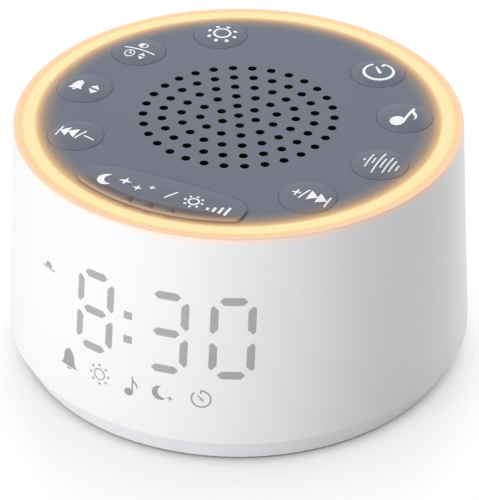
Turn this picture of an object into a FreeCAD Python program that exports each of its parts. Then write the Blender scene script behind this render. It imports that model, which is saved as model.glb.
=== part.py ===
import FreeCAD, Part
import math
import os
from types import SimpleNamespace

import Sketcher

# A round bedside sound machine with a clock. A tapered white housing stands on a shallow
# base cover. A lit ring lies flush in its top round a grey panel, which holds a speaker
# grille, eight domed keys and a wide snooze bar. The clock's digits shine through the front.
# Millimetres, +Z up, the front towards -Y, the origin in the middle of the footprint.

# Driving sizes. Angles are in degrees, and counts are whole numbers.
SIZES = {
    # housing shell, a cone that widens down to its seam with the base cover
    "top_height": 59.2,
    "lip_radius": 51.7,
    "seam_radius": 55.0,
    "seam_height": 6.6,
    "wall": 2.0,
    "lip_round": 0.35,
    "shelf_width": 1.2,
    "shelf_thickness": 1.4,
    "fit_gap": 0.05,
    # light ring
    "lip_width": 1.6,
    "ring_width": 3.7,
    "ring_thickness": 1.6,
    "guide_width": 1.8,
    "lamp_air": 1.0,
    "ledge_width": 1.0,
    "ledge_thickness": 1.2,
    # top panel
    "panel_thickness": 2.0,
    "hole_diameter": 2.1,
    "hole_pitch": 4.4,
    "hole_rings": 5,
    "collar_depth": 3.5,
    "collar_width": 1.7,
    "hook_width": 4.0,
    "hook_thickness": 1.2,
    "hook_barb": 0.6,
    # round keys
    "key_radius": 6.4,
    "key_clearance": 0.5,
    "first_key_angle": 50.0,
    "key_step": 32.3,
    "key_rise": 0.1,
    "key_crown": 1.1,
    "key_gap": 0.1,
    "key_slack": 0.1,
    "key_travel": 0.5,
    "flange_width": 0.5,
    "flange_thickness": 0.9,
    "stem_radius": 1.5,
    "stem_length": 1.0,
    # snooze bar
    "bar_margin": 1.7,
    "bar_depth": 12.7,
    "bar_half_width": 20.0,
    "bar_back_corner": 5.3,
    "bar_front_corner": 1.6,
    "bar_crown": 1.25,
    "bar_rib_angle": 6.8,
    "bar_rib_length": 4.8,
    "bar_rib_width": 2.8,
    "bar_rib_height": 0.5,
    "bar_rib_inset": 1.0,
    # key board with its switches and lamps
    "board_thickness": 1.6,
    "key_board_gap": 0.4,
    "switch_width": 6.0,
    "switch_height": 3.4,
    "plunger_radius": 1.7,
    "plunger_rise": 1.0,
    "lamp_count": 24,
    "lamp_length": 2.8,
    "lamp_width": 1.4,
    "lamp_height": 0.8,
    # screws
    "small_shank_radius": 1.0,
    "small_head_radius": 1.9,
    "small_head_height": 1.3,
    "small_screw_length": 4.6,
    "small_boss_radius": 2.2,
    "base_shank_radius": 1.3,
    "base_head_radius": 2.5,
    "base_head_height": 1.7,
    "base_boss_radius": 3.4,
    "base_screw_inset": 11.0,
    # loudspeaker
    "cloth_thickness": 0.3,
    "grille_margin": 0.45,
    "speaker_ear_reach": 2.1,
    "speaker_ear_radius": 2.4,
    "speaker_gap": 0.9,
    "speaker_sheet": 1.0,
    "landing_width": 2.1,
    "basket_depth": 9.2,
    "surround_width": 2.2,
    "cone_depth": 4.6,
    "cone_paper": 0.5,
    "coil_radius": 7.9,
    "coil_wall": 0.8,
    "coil_length": 8.4,
    "coil_air": 0.4,
    "dust_cap_height": 2.2,
    "surround_rubber": 0.4,
    "magnet_radius": 16.0,
    "magnet_height": 6.0,
    "pole_plate": 2.0,
    "pole_plate_inset": 1.6,
    # clock display behind the front wall
    "window_wall": 1.2,
    "window_side_margin": 4.0,
    "window_bottom_margin": 1.4,
    "window_top_gap": 1.9,
    "display_depth": 12.4,
    "digit_pitch": 14.6,
    "colon_width": 3.35,
    "digit_height": 20.5,
    "digit_width": 10.2,
    "digit_drop": 24.85,
    "segment_width": 1.9,
    "well_wall": 0.5,
    "icon_drop": 41.0,
    "icon_size": 5.0,
    "icon_pitch": 8.3,
    # base cover
    "foot_rise": 0.6,
    "base_taper": 3.0,
    "base_round": 0.5,
    "base_floor": 2.0,
    "spigot_wall": 2.6,
    "spigot_rise": 2.7,
    "spigot_gap": 0.1,
    "screw_joint_gap": 0.3,
    "post_height": 4.4,
    "foot_radius": 5.0,
    "foot_thickness": 1.5,
    "foot_inset": 10.0,
    # backup battery
    "door_x": 0.0,
    "door_y": -12.0,
    "door_radius": 12.8,
    "door_gap": 0.2,
    "door_thickness": 1.8,
    "door_neck_radius": 11.4,
    "lug_reach": 1.6,
    "lug_width": 5.0,
    "lug_thickness": 1.0,
    "lug_slack": 0.15,
    "door_turn": 60.0,
    "slot_length": 14.0,
    "slot_width": 2.0,
    "slot_depth": 1.0,
    "cell_radius": 10.0,
    "cell_height": 3.2,
    "cell_cap_radius": 8.9,
    "cell_cap_height": 0.5,
    "cell_slack": 0.25,
    "contact_sheet": 0.3,
    "contact_width": 4.0,
    "contact_height": 0.9,
    "cup_wall": 1.6,
    "cup_roof": 1.2,
    # main board and power inlet
    "main_board_height": 10.6,
    "main_board_half_width": 20.0,
    "main_board_length": 26.8,
    "inlet_tab_half_width": 7.6,
    "inlet_tab_length": 4.8,
    "standoff_radius": 2.6,
    "standoff_inset": 4.0,
    "port_width": 8.94,
    "port_height": 3.26,
    "port_sheet": 0.3,
    "port_length": 7.4,
    "port_recess": 0.65,
    "port_overhang": 2.3,
    "port_gap": 0.2,
    "tongue_width": 6.69,
    "tongue_thickness": 0.7,
    "tongue_length": 4.4,
    "chip_width": 10.0,
    "chip_height": 1.5,
    # inner wiring
    "ribbon_width": 10.0,
    "ribbon_thickness": 0.5,
    "ribbon_bend": 3.0,
    "lead_radius": 0.6,
    "lead_spacing": 2.4,
}

doc = FreeCAD.newDocument("sound_machine")
sheet = doc.addObject("Spreadsheet::Sheet", "sizes")
for row, (name, value) in enumerate(SIZES.items(), start=1):
    sheet.set(f"A{row}", name)
    sheet.set(f"B{row}", str(value))
    sheet.setAlias(f"B{row}", name)
doc.recompute()

sub_parts = {}


class Size:
    """A number, kept together with the formula that ties it to the sheet."""

    def __init__(self, value, formula):
        self.value = value
        self.formula = formula

    def __add__(self, other):
        other = as_size(other)
        return Size(self.value + other.value, f"({self.formula} + {other.formula})")

    def __sub__(self, other):
        other = as_size(other)
        return Size(self.value - other.value, f"({self.formula} - {other.formula})")

    def __mul__(self, other):
        other = as_size(other)
        return Size(self.value * other.value, f"({self.formula} * {other.formula})")

    def __truediv__(self, other):
        other = as_size(other)
        return Size(self.value / other.value, f"({self.formula} / {other.formula})")

    def __radd__(self, other):
        return as_size(other) + self

    def __rsub__(self, other):
        return as_size(other) - self

    def __rmul__(self, other):
        return as_size(other) * self

    def __rtruediv__(self, other):
        return as_size(other) / self

    def __neg__(self):
        return Size(-self.value, f"(0 - {self.formula})")


def as_size(number):
    if isinstance(number, Size):
        return number
    return Size(float(number), f"({float(number)!r})")


def root(size_):
    return Size(math.sqrt(size_.value), f"sqrt({size_.formula})")


def cosine(angle):
    angle = as_size(angle)
    return Size(math.cos(math.radians(angle.value)), f"cos({angle.formula})")


def sine(angle):
    angle = as_size(angle)
    return Size(math.sin(math.radians(angle.value)), f"sin({angle.formula})")


def from_front(radius, angle):
    """The plan point at a radius, with its angle counted from the front towards +X."""
    return radius * sine(angle), -(radius * cosine(angle))


size = SimpleNamespace(**{name: Size(value, f"sizes.{name}") for name, value in SIZES.items()})

# Heights and radii that several pieces share, from the lip inwards.
ring_outer_radius = size.lip_radius - size.lip_width
ring_inner_radius = ring_outer_radius - size.ring_width
shelf_radius = ring_outer_radius - size.shelf_width
key_board_outer_radius = shelf_radius - size.key_board_gap
panel_underside = size.top_height - size.panel_thickness
ring_shelf = size.top_height - size.ring_thickness
flange_top = panel_underside - size.key_slack
flange_bottom = flange_top - size.flange_thickness
plunger_top = flange_bottom - size.stem_length
switch_top = plunger_top - size.plunger_rise
key_board_top = switch_top - size.switch_height
key_board_bottom = key_board_top - size.board_thickness
key_flange_radius = size.key_radius + size.flange_width
key_circle = ring_inner_radius - size.ledge_width - size.key_clearance - key_flange_radius
bar_front_radius = ring_inner_radius - size.bar_margin
bar_back = bar_front_radius - size.bar_depth
side_slope = (size.seam_radius - size.lip_radius) / (size.top_height - size.seam_height)


def side_radius(height):
    """The housing's outer radius at a height above the seam."""
    return size.lip_radius + (size.top_height - height) * side_slope


# The loudspeaker, from the grille outwards.
speaker_seat = panel_underside - size.collar_depth
grille_radius = size.hole_pitch * size.hole_rings + size.hole_diameter / 2
collar_inner_radius = grille_radius + size.grille_margin
basket_rim = collar_inner_radius + size.collar_width
basket_inner_radius = collar_inner_radius - size.landing_width
speaker_ear_circle = basket_rim + size.speaker_ear_reach
cone_radius = basket_inner_radius - size.surround_width
pole_plate_radius = size.magnet_radius - size.pole_plate_inset
key_board_inner_radius = speaker_ear_circle + size.speaker_ear_radius + size.speaker_gap

# The clock, from the top down.
digit_middle = size.top_height - size.digit_drop
icon_height = size.top_height - size.icon_drop
window_top = key_board_bottom - size.window_top_gap
window_bottom = icon_height - size.icon_size / 2 - size.window_bottom_margin
window_arc = size.digit_pitch * 1.5 + (size.colon_width + size.digit_width) / 2
window_half_angle = (window_arc + size.window_side_margin) * (180 / math.pi) / size.seam_radius
display_back = side_radius(window_top) - size.display_depth

# The base, from the floor up and from the seam inwards.
base_radius = size.seam_radius - size.base_taper
base_screw_circle = size.seam_radius - size.base_screw_inset
foot_circle = base_radius - size.foot_inset
floor_top = size.foot_rise + size.base_floor
spigot_top = size.seam_height + size.spigot_rise
screw_joint_height = spigot_top + size.screw_joint_gap
lug_low = floor_top + size.lug_slack
cup_top = lug_low + size.lug_thickness
cell_bottom = cup_top + size.cell_slack
cell_top = cell_bottom + size.cell_height
cup_ceiling = cell_top + size.contact_height
main_board_top = size.main_board_height + size.board_thickness
port_middle = main_board_top + size.port_height / 2
port_mouth = side_radius(port_middle) - size.port_recess
inlet_tab_back = port_mouth - size.port_overhang
main_board_back = inlet_tab_back - size.inlet_tab_length
main_board_front = main_board_back - size.main_board_length
standoff_x = size.main_board_half_width - size.standoff_inset
standoff_front = main_board_front + size.standoff_inset
standoff_back = main_board_back - size.standoff_inset
lead_start = basket_rim - size.lead_radius * 2
lead_end = lead_start + size.ribbon_bend * 2
chip_aside = (standoff_x + size.chip_width / 2) / 2


def bind(thing, path, number):
    thing.setExpression(path, as_size(number).formula)


def move(thing, across=0, along=0, up=0, turn=None):
    """Gives a sub-part its place, and its turn about the vertical."""
    axis = FreeCAD.Vector(0, 0, 1)
    degrees = as_size(turn or 0).value
    place = FreeCAD.Vector(as_size(across).value, as_size(along).value, as_size(up).value)
    thing.Placement = FreeCAD.Placement(place, FreeCAD.Rotation(axis, degrees))
    bind(thing, "Placement.Base.x", across)
    bind(thing, "Placement.Base.y", along)
    bind(thing, "Placement.Base.z", up)
    if turn is not None:
        bind(thing, "Placement.Rotation.Angle", turn)
    return thing


def keep(thing, label):
    """Records a finished object as the sub-part of that name."""
    thing.Label = label
    sub_parts[label] = thing
    return thing


# Sketches and the features that are made from them.


def new_body(label):
    return keep(doc.addObject("PartDesign::Body", label), label)


def origin_feature(body, role):
    return next(item for item in body.Origin.OriginFeatures if item.Role == role)


def sketch_on(body, role="XY_Plane", lift=None):
    """An empty sketch on one of the body's own planes, raised along the plane's normal."""
    sketch = body.newObject("Sketcher::SketchObject", "Sketch")
    sketch.AttachmentSupport = [(origin_feature(body, role), "")]
    sketch.MapMode = "FlatFace"
    if lift is not None:
        sketch.AttachmentOffset = FreeCAD.Placement(
            FreeCAD.Vector(0, 0, as_size(lift).value), FreeCAD.Rotation()
        )
        bind(sketch, "AttachmentOffset.Base.z", lift)
    return sketch


def hold(sketch, geometry, end, point):
    """Ties one end of a curve to a point that the sheet gives."""
    for direction, number in zip(("DistanceX", "DistanceY"), point):
        number = as_size(number)
        index = sketch.addConstraint(
            Sketcher.Constraint(direction, -1, 1, geometry, end, number.value)
        )
        bind(sketch, f"Constraints[{index}]", number)


def outline(sketch, points, arcs=None):
    """A closed outline through points. arcs gives a radius for the side that follows a
    point: above zero it turns left about its centre, below zero it turns right."""
    arcs = arcs or {}
    corners = [FreeCAD.Vector(as_size(x).value, as_size(y).value, 0) for x, y in points]
    sides = []
    for index, start in enumerate(corners):
        end = corners[(index + 1) % len(corners)]
        if index in arcs:
            sides.append(arc_side(sketch, start, end, as_size(arcs[index])))
        else:
            sides.append((sketch.addGeometry(Part.LineSegment(start, end)), 1, 2))
    for index, (geometry, first_end, last_end) in enumerate(sides):
        following, next_end, _ = sides[(index + 1) % len(sides)]
        sketch.addConstraint(
            Sketcher.Constraint("Coincident", geometry, last_end, following, next_end)
        )
        hold(sketch, geometry, first_end, points[index])


def arc_side(sketch, start, end, radius):
    """One arc between two points, under half a circle, with its radius tied to the sheet."""
    left = radius.value > 0
    reach = abs(radius.value)
    chord = end - start
    middle = (start + end) * 0.5
    rise = math.sqrt(max(reach**2 - (chord.Length / 2) ** 2, 0))
    normal = FreeCAD.Vector(-chord.y, chord.x, 0).normalize()
    centre = middle + normal * (rise if left else -rise)
    first, last = (start, end) if left else (end, start)
    angles = [math.atan2(p.y - centre.y, p.x - centre.x) for p in (first, last)]
    circle = Part.Circle(centre, FreeCAD.Vector(0, 0, 1), reach)
    geometry = sketch.addGeometry(Part.ArcOfCircle(circle, angles[0], angles[1]))
    index = sketch.addConstraint(Sketcher.Constraint("Radius", geometry, reach))
    bind(sketch, f"Constraints[{index}]", radius if left else -radius)
    return (geometry, 1, 2) if left else (geometry, 2, 1)


def circle_at(sketch, point, radius):
    radius = as_size(radius)
    x, y = (as_size(number).value for number in point)
    circle = Part.Circle(FreeCAD.Vector(x, y, 0), FreeCAD.Vector(0, 0, 1), radius.value)
    geometry = sketch.addGeometry(circle)
    index = sketch.addConstraint(Sketcher.Constraint("Radius", geometry, radius.value))
    bind(sketch, f"Constraints[{index}]", radius)
    hold(sketch, geometry, 3, point)


def rectangle(sketch, left, right, low, high):
    outline(sketch, [(left, low), (right, low), (right, high), (left, high)])


def pad(body, sketch, length, both_ways=False):
    feature = body.newObject("PartDesign::Pad", "Pad")
    feature.Profile = sketch
    feature.Length = as_size(length).value
    bind(feature, "Length", length)
    if both_ways:
        feature.Midplane = True
    doc.recompute()
    return feature


def cut(body, sketch, depth, towards_normal=False):
    """A pocket from the sketch's plane, checked to have taken material away."""
    before = body.Shape.Volume
    feature = body.newObject("PartDesign::Pocket", "Pocket")
    feature.Profile = sketch
    feature.Length = as_size(depth).value
    bind(feature, "Length", depth)
    feature.Reversed = towards_normal
    doc.recompute()
    if not body.Shape.Volume < before:
        raise RuntimeError(f"a pocket of {body.Label} cuts nothing")
    return feature


def revolve(body, sketch):
    feature = body.newObject("PartDesign::Revolution", "Revolution")
    feature.Profile = sketch
    feature.ReferenceAxis = (sketch, ["V_Axis"])
    feature.Angle = 360
    doc.recompute()
    return feature


def repeat_round(body, features, count, angle=360):
    """Repeats features about the body's vertical axis."""
    feature = body.newObject("PartDesign::PolarPattern", "PolarPattern")
    feature.Originals = features
    feature.Axis = (origin_feature(body, "Z_Axis"), [""])
    feature.Angle = as_size(angle).value
    bind(feature, "Angle", angle)
    feature.Occurrences = int(as_size(count).value)
    bind(feature, "Occurrences", count)
    body.Tip = feature
    doc.recompute()
    return feature


def round_edges(body, radius, wanted):
    """Fillets the edges of a body that a test picks."""
    base = body.Tip
    names = [f"Edge{i}" for i, edge in enumerate(base.Shape.Edges, start=1) if wanted(edge)]
    if not names:
        raise RuntimeError(f"{body.Label} has no edge to round")
    feature = body.newObject("PartDesign::Fillet", "Fillet")
    feature.Base = (base, names)
    feature.Radius = as_size(radius).value
    bind(feature, "Radius", radius)
    doc.recompute()
    return feature


def is_ring(radius, height):
    """A test for a circular edge about the vertical axis."""

    def test(edge):
        curve = edge.Curve
        if not isinstance(curve, Part.Circle):
            return False
        near = abs(curve.Radius - radius.value) < 0.001
        return near and abs(curve.Center.z - height.value) < 0.001

    return test


# Primitives, for the pieces that are plain blocks and rods.


def block(label, left, front, low, width, depth, height):
    piece = doc.addObject("Part::Box", label)
    for name, number in (("Length", width), ("Width", depth), ("Height", height)):
        bind(piece, name, number)
    return move(piece, left, front, low)


def rod(label, across, along, low, radius, length):
    piece = doc.addObject("Part::Cylinder", label)
    bind(piece, "Radius", radius)
    bind(piece, "Height", length)
    return move(piece, across, along, low)


def join(label, pieces):
    fused = doc.addObject("Part::MultiFuse", label)
    fused.Shapes = pieces
    return fused


def group(label, pieces):
    """Like pieces that stay separate solids under one name."""
    compound = doc.addObject("Part::Compound", label)
    compound.Links = pieces
    return keep(compound, label)


def screw(label, across, along, seat, head_radius, head_height, shank_radius, length, up=True):
    """A screw whose head bears on a seat and whose shank goes on past it."""
    if up:
        head = rod(f"{label}_head", across, along, seat - head_height, head_radius, head_height)
        shank = rod(f"{label}_shank", across, along, seat, shank_radius, length)
    else:
        head = rod(f"{label}_head", across, along, seat, head_radius, head_height)
        shank = rod(f"{label}_shank", across, along, seat - length, shank_radius, length)
    return join(label, [head, shank])


def small_screw(label, across, along, seat, up=True):
    head = (size.small_head_radius, size.small_head_height)
    return screw(label, across, along, seat, *head, size.small_shank_radius,
                 size.small_screw_length, up)


# Housing shell: a thin-walled cone with a shelf inside its lip for the light ring, a
# thinner wall in front of the clock, three screw posts and the opening for the power inlet.

base_screw_angles = (0, 120, 240)
ring_seat_radius = ring_outer_radius + size.fit_gap


def housing_shell():
    body = new_body("housing_shell")
    shelf_underside = ring_shelf - size.shelf_thickness
    profile = sketch_on(body, "XZ_Plane")
    outline(profile, [
        (size.seam_radius, size.seam_height),
        (size.lip_radius, size.top_height),
        (ring_seat_radius, size.top_height),
        (ring_seat_radius, ring_shelf),
        (shelf_radius, ring_shelf),
        (shelf_radius, shelf_underside),
        (side_radius(shelf_underside) - size.wall, shelf_underside),
        (size.seam_radius - size.wall, size.seam_height),
    ])
    revolve(body, profile)
    round_edges(body, size.lip_round, is_ring(size.lip_radius, size.top_height))

    # the wall is thinned from inside where the digits shine through it
    window = sketch_on(body, "YZ_Plane")
    slack = 0.5
    outline(window, [
        (-(side_radius(window_bottom) - size.window_wall), window_bottom),
        (-(side_radius(window_top) - size.window_wall), window_top),
        (-(side_radius(window_top) - size.wall - slack), window_top),
        (-(side_radius(window_bottom) - size.wall - slack), window_bottom),
    ])
    before = body.Shape.Volume
    groove = body.newObject("PartDesign::Groove", "Groove")
    groove.Profile = window
    groove.ReferenceAxis = (window, ["V_Axis"])
    groove.Midplane = True
    groove.Angle = (window_half_angle * 2).value
    bind(groove, "Angle", window_half_angle * 2)
    doc.recompute()
    if not body.Shape.Volume < before:
        raise RuntimeError("the window recess cuts nothing")

    # a screw post and the web that ties it to the wall, three times
    wall_middle = side_radius(screw_joint_height) - size.wall / 2
    post = sketch_on(body, lift=screw_joint_height)
    circle_at(post, (0, -base_screw_circle), size.base_boss_radius)
    post_pad = pad(body, post, size.post_height)
    web = sketch_on(body, lift=screw_joint_height)
    rectangle(web, -size.wall / 2, size.wall / 2, -wall_middle, -base_screw_circle)
    web_pad = pad(body, web, size.post_height)
    pilot = sketch_on(body, lift=screw_joint_height)
    circle_at(pilot, (0, -base_screw_circle), size.base_shank_radius + size.fit_gap)
    pilot_cut = cut(body, pilot, size.post_height - size.wall / 2, towards_normal=True)
    repeat_round(body, [post_pad, web_pad, pilot_cut], len(base_screw_angles))

    # the opening for the power inlet, through the back wall only
    opening = sketch_on(body, "XZ_Plane")
    port_outline(opening, size.port_gap)
    cut(body, opening, size.seam_radius * 2)


def port_outline(sketch, margin):
    """The inlet's round-ended section, grown by a margin."""
    half_flat = (size.port_width - size.port_height) / 2
    radius = size.port_height / 2 + margin
    left, right = -half_flat, half_flat
    low, high = port_middle - radius, port_middle + radius
    points = [
        (left, low), (right, low), (right + radius, port_middle),
        (right, high), (left, high), (left - radius, port_middle),
    ]
    outline(sketch, points, {1: radius, 2: radius, 4: radius, 5: radius})


# Light ring: a clear moulding. Its flange rests on the shell's shelf, its ledge carries the
# panel, and a light guide reaches down towards the lamps.


def light_ring():
    body = new_body("light_ring")
    guide_outer = shelf_radius - size.fit_gap
    guide_inner = guide_outer - size.guide_width
    ledge_inner = ring_inner_radius - size.ledge_width
    guide_bottom = key_board_top + size.lamp_height + size.lamp_air
    profile = sketch_on(body, "XZ_Plane")
    outline(profile, [
        (ring_inner_radius, size.top_height),
        (ring_outer_radius, size.top_height),
        (ring_outer_radius, ring_shelf),
        (guide_outer, ring_shelf),
        (guide_outer, guide_bottom),
        (guide_inner, guide_bottom),
        (guide_inner, panel_underside - size.ledge_thickness),
        (ledge_inner, panel_underside - size.ledge_thickness),
        (ledge_inner, panel_underside),
        (ring_inner_radius, panel_underside),
    ])
    revolve(body, profile)


# Top panel: a grey disc on the ring's ledge. Ninety-one speaker holes lie in rings round
# its centre. Under it are a collar and bosses for the speaker, bosses for the key board and
# hooks that snap under the ledge.

hole_places = 6
speaker_screw_angles = (45, 135, 225, 315)


def key_angle(index):
    return size.first_key_angle + size.key_step * index


board_screw_places = [
    from_front(key_circle, key_angle(gap) * side)
    for side in (1, -1)
    for gap in (0.5, 2.5)
]
speaker_screw_places = [
    from_front(speaker_ear_circle, angle) for angle in speaker_screw_angles
]
key_places = [
    from_front(key_circle, key_angle(index) * side)
    for side in (1, -1)
    for index in range(4)
]


def bar_outline(sketch, margin):
    """The snooze bar's outline: straight at the back, an arc about the centre in front."""
    front = bar_front_radius + margin
    half = size.bar_half_width + margin
    back = -(bar_back - margin)
    back_corner = size.bar_back_corner + margin
    front_corner = size.bar_front_corner + margin
    corner_x = half - front_corner
    corner_reach = front - front_corner
    corner_y = -root(corner_reach * corner_reach - corner_x * corner_x)
    touch_x = corner_x * front / corner_reach
    touch_y = corner_y * front / corner_reach
    points = [
        (-touch_x, touch_y), (touch_x, touch_y),
        (half, corner_y), (half, back - back_corner),
        (half - back_corner, back), (back_corner - half, back),
        (-half, back - back_corner), (-half, corner_y),
    ]
    outline(sketch, points, {
        0: front, 1: front_corner, 3: back_corner, 5: back_corner, 7: front_corner,
    })


def hook_outlines(sketch, inner, outer):
    """A small rectangle for each hook, midway between neighbouring keys."""
    half = size.hook_width / 2
    for side in (1, -1):
        for gap in (0.5, 1.5, 2.5):
            angle = key_angle(gap) * side
            points = []
            for radius, across in ((inner, half), (inner, -half), (outer, -half), (outer, half)):
                x = radius * sine(angle) + across * cosine(angle)
                y = across * sine(angle) - radius * cosine(angle)
                points.append((x, y))
            outline(sketch, points)


def top_panel():
    body = new_body("top_panel")
    disc = sketch_on(body, lift=panel_underside)
    circle_at(disc, (0, 0), ring_inner_radius - size.fit_gap)
    pad(body, disc, size.panel_thickness)

    # hooks reach down past the ledge and turn out under it
    hook_outer = ring_inner_radius - size.ledge_width - size.fit_gap
    hook_inner = hook_outer - size.hook_thickness
    barb_top = panel_underside - size.ledge_thickness - size.fit_gap
    hook_bottom = barb_top - size.hook_thickness
    hooks = sketch_on(body, lift=hook_bottom)
    hook_outlines(hooks, hook_inner, hook_outer)
    pad(body, hooks, panel_underside - hook_bottom)
    barbs = sketch_on(body, lift=hook_bottom)
    hook_outlines(barbs, hook_inner, hook_outer + size.hook_barb)
    pad(body, barbs, barb_top - hook_bottom)

    # the speaker's collar and its screw bosses, and the longer bosses of the key board
    collar = sketch_on(body, lift=speaker_seat)
    circle_at(collar, (0, 0), basket_rim)
    circle_at(collar, (0, 0), collar_inner_radius)
    pad(body, collar, size.collar_depth)
    boss_bottoms = (
        (speaker_screw_places, speaker_seat),
        (board_screw_places, key_board_top),
    )
    for places, bottom in boss_bottoms:
        bosses = sketch_on(body, lift=bottom)
        for place in places:
            circle_at(bosses, place, size.small_boss_radius)
        pad(body, bosses, panel_underside - bottom)
        pilots = sketch_on(body, lift=bottom)
        for place in places:
            circle_at(pilots, place, size.small_shank_radius + size.fit_gap)
        cut(body, pilots, panel_underside - bottom + size.panel_thickness / 2, True)

    # openings for the keys and the bar
    openings = sketch_on(body, lift=size.top_height)
    for place in key_places:
        circle_at(openings, place, size.key_radius + size.key_gap)
    bar_outline(openings, size.key_gap)
    cut(body, openings, size.panel_thickness)

    # the grille, one hole in the middle and six more in each ring than in the ring inside it
    middle = sketch_on(body, lift=size.top_height)
    circle_at(middle, (0, 0), size.hole_diameter / 2)
    cut(body, middle, size.panel_thickness)
    for ring in range(1, SIZES["hole_rings"] + 1):
        first = sketch_on(body, lift=size.top_height)
        circle_at(first, (size.hole_pitch * ring, 0), size.hole_diameter / 2)
        hole = cut(body, first, size.panel_thickness)
        repeat_round(body, [hole], hole_places * ring)


def grille_cloth():
    cloth_radius = collar_inner_radius - size.fit_gap
    bottom = panel_underside - size.cloth_thickness
    keep(rod("grille_cloth", 0, 0, bottom, cloth_radius, size.cloth_thickness), "grille_cloth")


# Keys: domed caps that stand a little proud of the panel. A flange under the panel keeps
# each one in, and its stem presses the plunger of a switch.

KEY_NAMES = {
    1: ("next_key", "melody_key", "music_key", "timer_key"),
    -1: ("previous_key", "alarm_key", "dimmer_key", "light_key"),
}


def key_cap(label, across, along):
    """A round cap, drawn with its zero height at the top of the panel."""
    body = new_body(label)
    neck_bottom = -size.panel_thickness - size.key_slack
    flange_radius = size.key_radius + size.flange_width
    flange_low = neck_bottom - size.flange_thickness
    apex = size.key_rise + size.key_crown
    crown_radius = (size.key_radius * size.key_radius / size.key_crown + size.key_crown) / 2
    profile = sketch_on(body, "XZ_Plane")
    outline(profile, [
        (0, apex),
        (size.key_radius, size.key_rise),
        (size.key_radius, neck_bottom),
        (flange_radius, neck_bottom),
        (flange_radius, flange_low),
        (size.stem_radius, flange_low),
        (size.stem_radius, flange_low - size.stem_length),
        (0, flange_low - size.stem_length),
    ], {0: -crown_radius})
    revolve(body, profile)
    move(body, across, along, size.top_height)


bar_switch_along = -(bar_back + bar_front_radius) / 2


def snooze_bar():
    """The bar: a prism of its outline under a flat ellipsoid with three ribs, and a flange."""
    tool = doc.addObject("PartDesign::Body", "bar_prism")
    prism = sketch_on(tool, lift=panel_underside - size.key_slack)
    bar_outline(prism, 0)
    pad(tool, prism, size.panel_thickness + size.key_slack + size.bar_crown * 2)

    # the ellipsoid is widest well outside the bar, so its crown falls evenly to every edge
    dome = doc.addObject("Part::Ellipsoid", "bar_dome")
    bind(dome, "Radius1", size.bar_crown * 3.2)
    bind(dome, "Radius2", size.bar_half_width * 1.8)
    bind(dome, "Radius3", (bar_front_radius - bar_back) * 0.83)
    bind(dome, "Angle1", 0)
    move(dome, 0, bar_switch_along, size.top_height - size.bar_crown * 2.2)
    below = block(
        "bar_below", -size.bar_half_width * 1.2, -bar_front_radius * 1.2,
        panel_underside - size.key_slack, size.bar_half_width * 2.4, bar_front_radius,
        size.panel_thickness + size.key_slack - size.bar_crown,
    )

    # the ribs run out at the bar's front edge, where the prism trims them
    ribs = []
    for place in (-1, 0, 1):
        angle = size.bar_rib_angle * place
        rib = doc.addObject("Part::Ellipsoid", "bar_rib")
        bind(rib, "Radius1", size.bar_rib_height + size.bar_crown / 2)
        bind(rib, "Radius2", size.bar_rib_width / 2)
        bind(rib, "Radius3", size.bar_rib_length / 2)
        bind(rib, "Angle1", 0)
        across, along = from_front(bar_front_radius - size.bar_rib_inset, angle)
        ribs.append(move(rib, across, along, size.top_height, angle))
    form = join("bar_form", [dome, below, *ribs])
    cap = doc.addObject("Part::MultiCommon", "bar_cap")
    cap.Shapes = [tool, form]

    rest = doc.addObject("PartDesign::Body", "bar_flange")
    flange = sketch_on(rest, lift=flange_bottom)
    bar_outline(flange, size.flange_width)
    pad(rest, flange, size.flange_thickness)
    stem = sketch_on(rest, lift=flange_bottom - size.stem_length)
    circle_at(stem, (0, bar_switch_along), size.stem_radius)
    pad(rest, stem, size.stem_length + size.flange_thickness)
    keep(join("snooze_bar", [cap, rest]), "snooze_bar")


def tact_switch(label, across, along, turn):
    """The fixed half of a switch: a square case with a well for its plunger."""
    body = new_body(label)
    half = size.switch_width / 2
    case = sketch_on(body)
    rectangle(case, -half, half, -half, half)
    pad(body, case, size.switch_height)
    well = sketch_on(body, lift=size.switch_height)
    circle_at(well, (0, 0), size.plunger_radius + size.key_gap)
    cut(body, well, size.plunger_rise + size.key_travel * 2)
    move(body, across, along, key_board_top, turn)


def switch_plunger(label, across, along):
    length = size.plunger_rise + size.key_travel * 1.6
    keep(rod(label, across, along, plunger_top - length, size.plunger_radius, length), label)


def keys():
    for side, labels in KEY_NAMES.items():
        for index, label in enumerate(labels):
            angle = key_angle(index) * side
            across, along = from_front(key_circle, angle)
            stem = label.removesuffix("_key")
            key_cap(label, across, along)
            tact_switch(f"{stem}_switch", across, along, angle)
            switch_plunger(f"{stem}_plunger", across, along)
    snooze_bar()
    tact_switch("snooze_switch", 0, bar_switch_along, None)
    switch_plunger("snooze_plunger", 0, bar_switch_along)


# Key board: one round circuit board under the panel, with the switches on it and a ring of
# small lamps under the light guide.


def key_board():
    body = new_body("key_board")
    ring = sketch_on(body, lift=key_board_bottom)
    circle_at(ring, (0, 0), key_board_outer_radius)
    circle_at(ring, (0, 0), key_board_inner_radius)
    pad(body, ring, size.board_thickness)
    holes = sketch_on(body, lift=key_board_top)
    for place in board_screw_places:
        circle_at(holes, place, size.small_shank_radius + size.fit_gap * 2)
    cut(body, holes, size.board_thickness)


def ring_lamps():
    lamps = []
    middle = key_board_outer_radius - size.fit_gap * 4 - size.lamp_width / 2
    for index in range(SIZES["lamp_count"]):
        angle = index * 360 / size.lamp_count
        lamp = doc.addObject("Part::Box", "lamp")
        bind(lamp, "Length", size.lamp_length)
        bind(lamp, "Width", size.lamp_width)
        bind(lamp, "Height", size.lamp_height)
        half_long = size.lamp_length / 2
        near = middle + size.lamp_width / 2
        across = near * sine(angle) - half_long * cosine(angle)
        along = -(near * cosine(angle)) - half_long * sine(angle)
        lamps.append(move(lamp, across, along, key_board_top, angle))
    group("ring_lamps", lamps)


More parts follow.
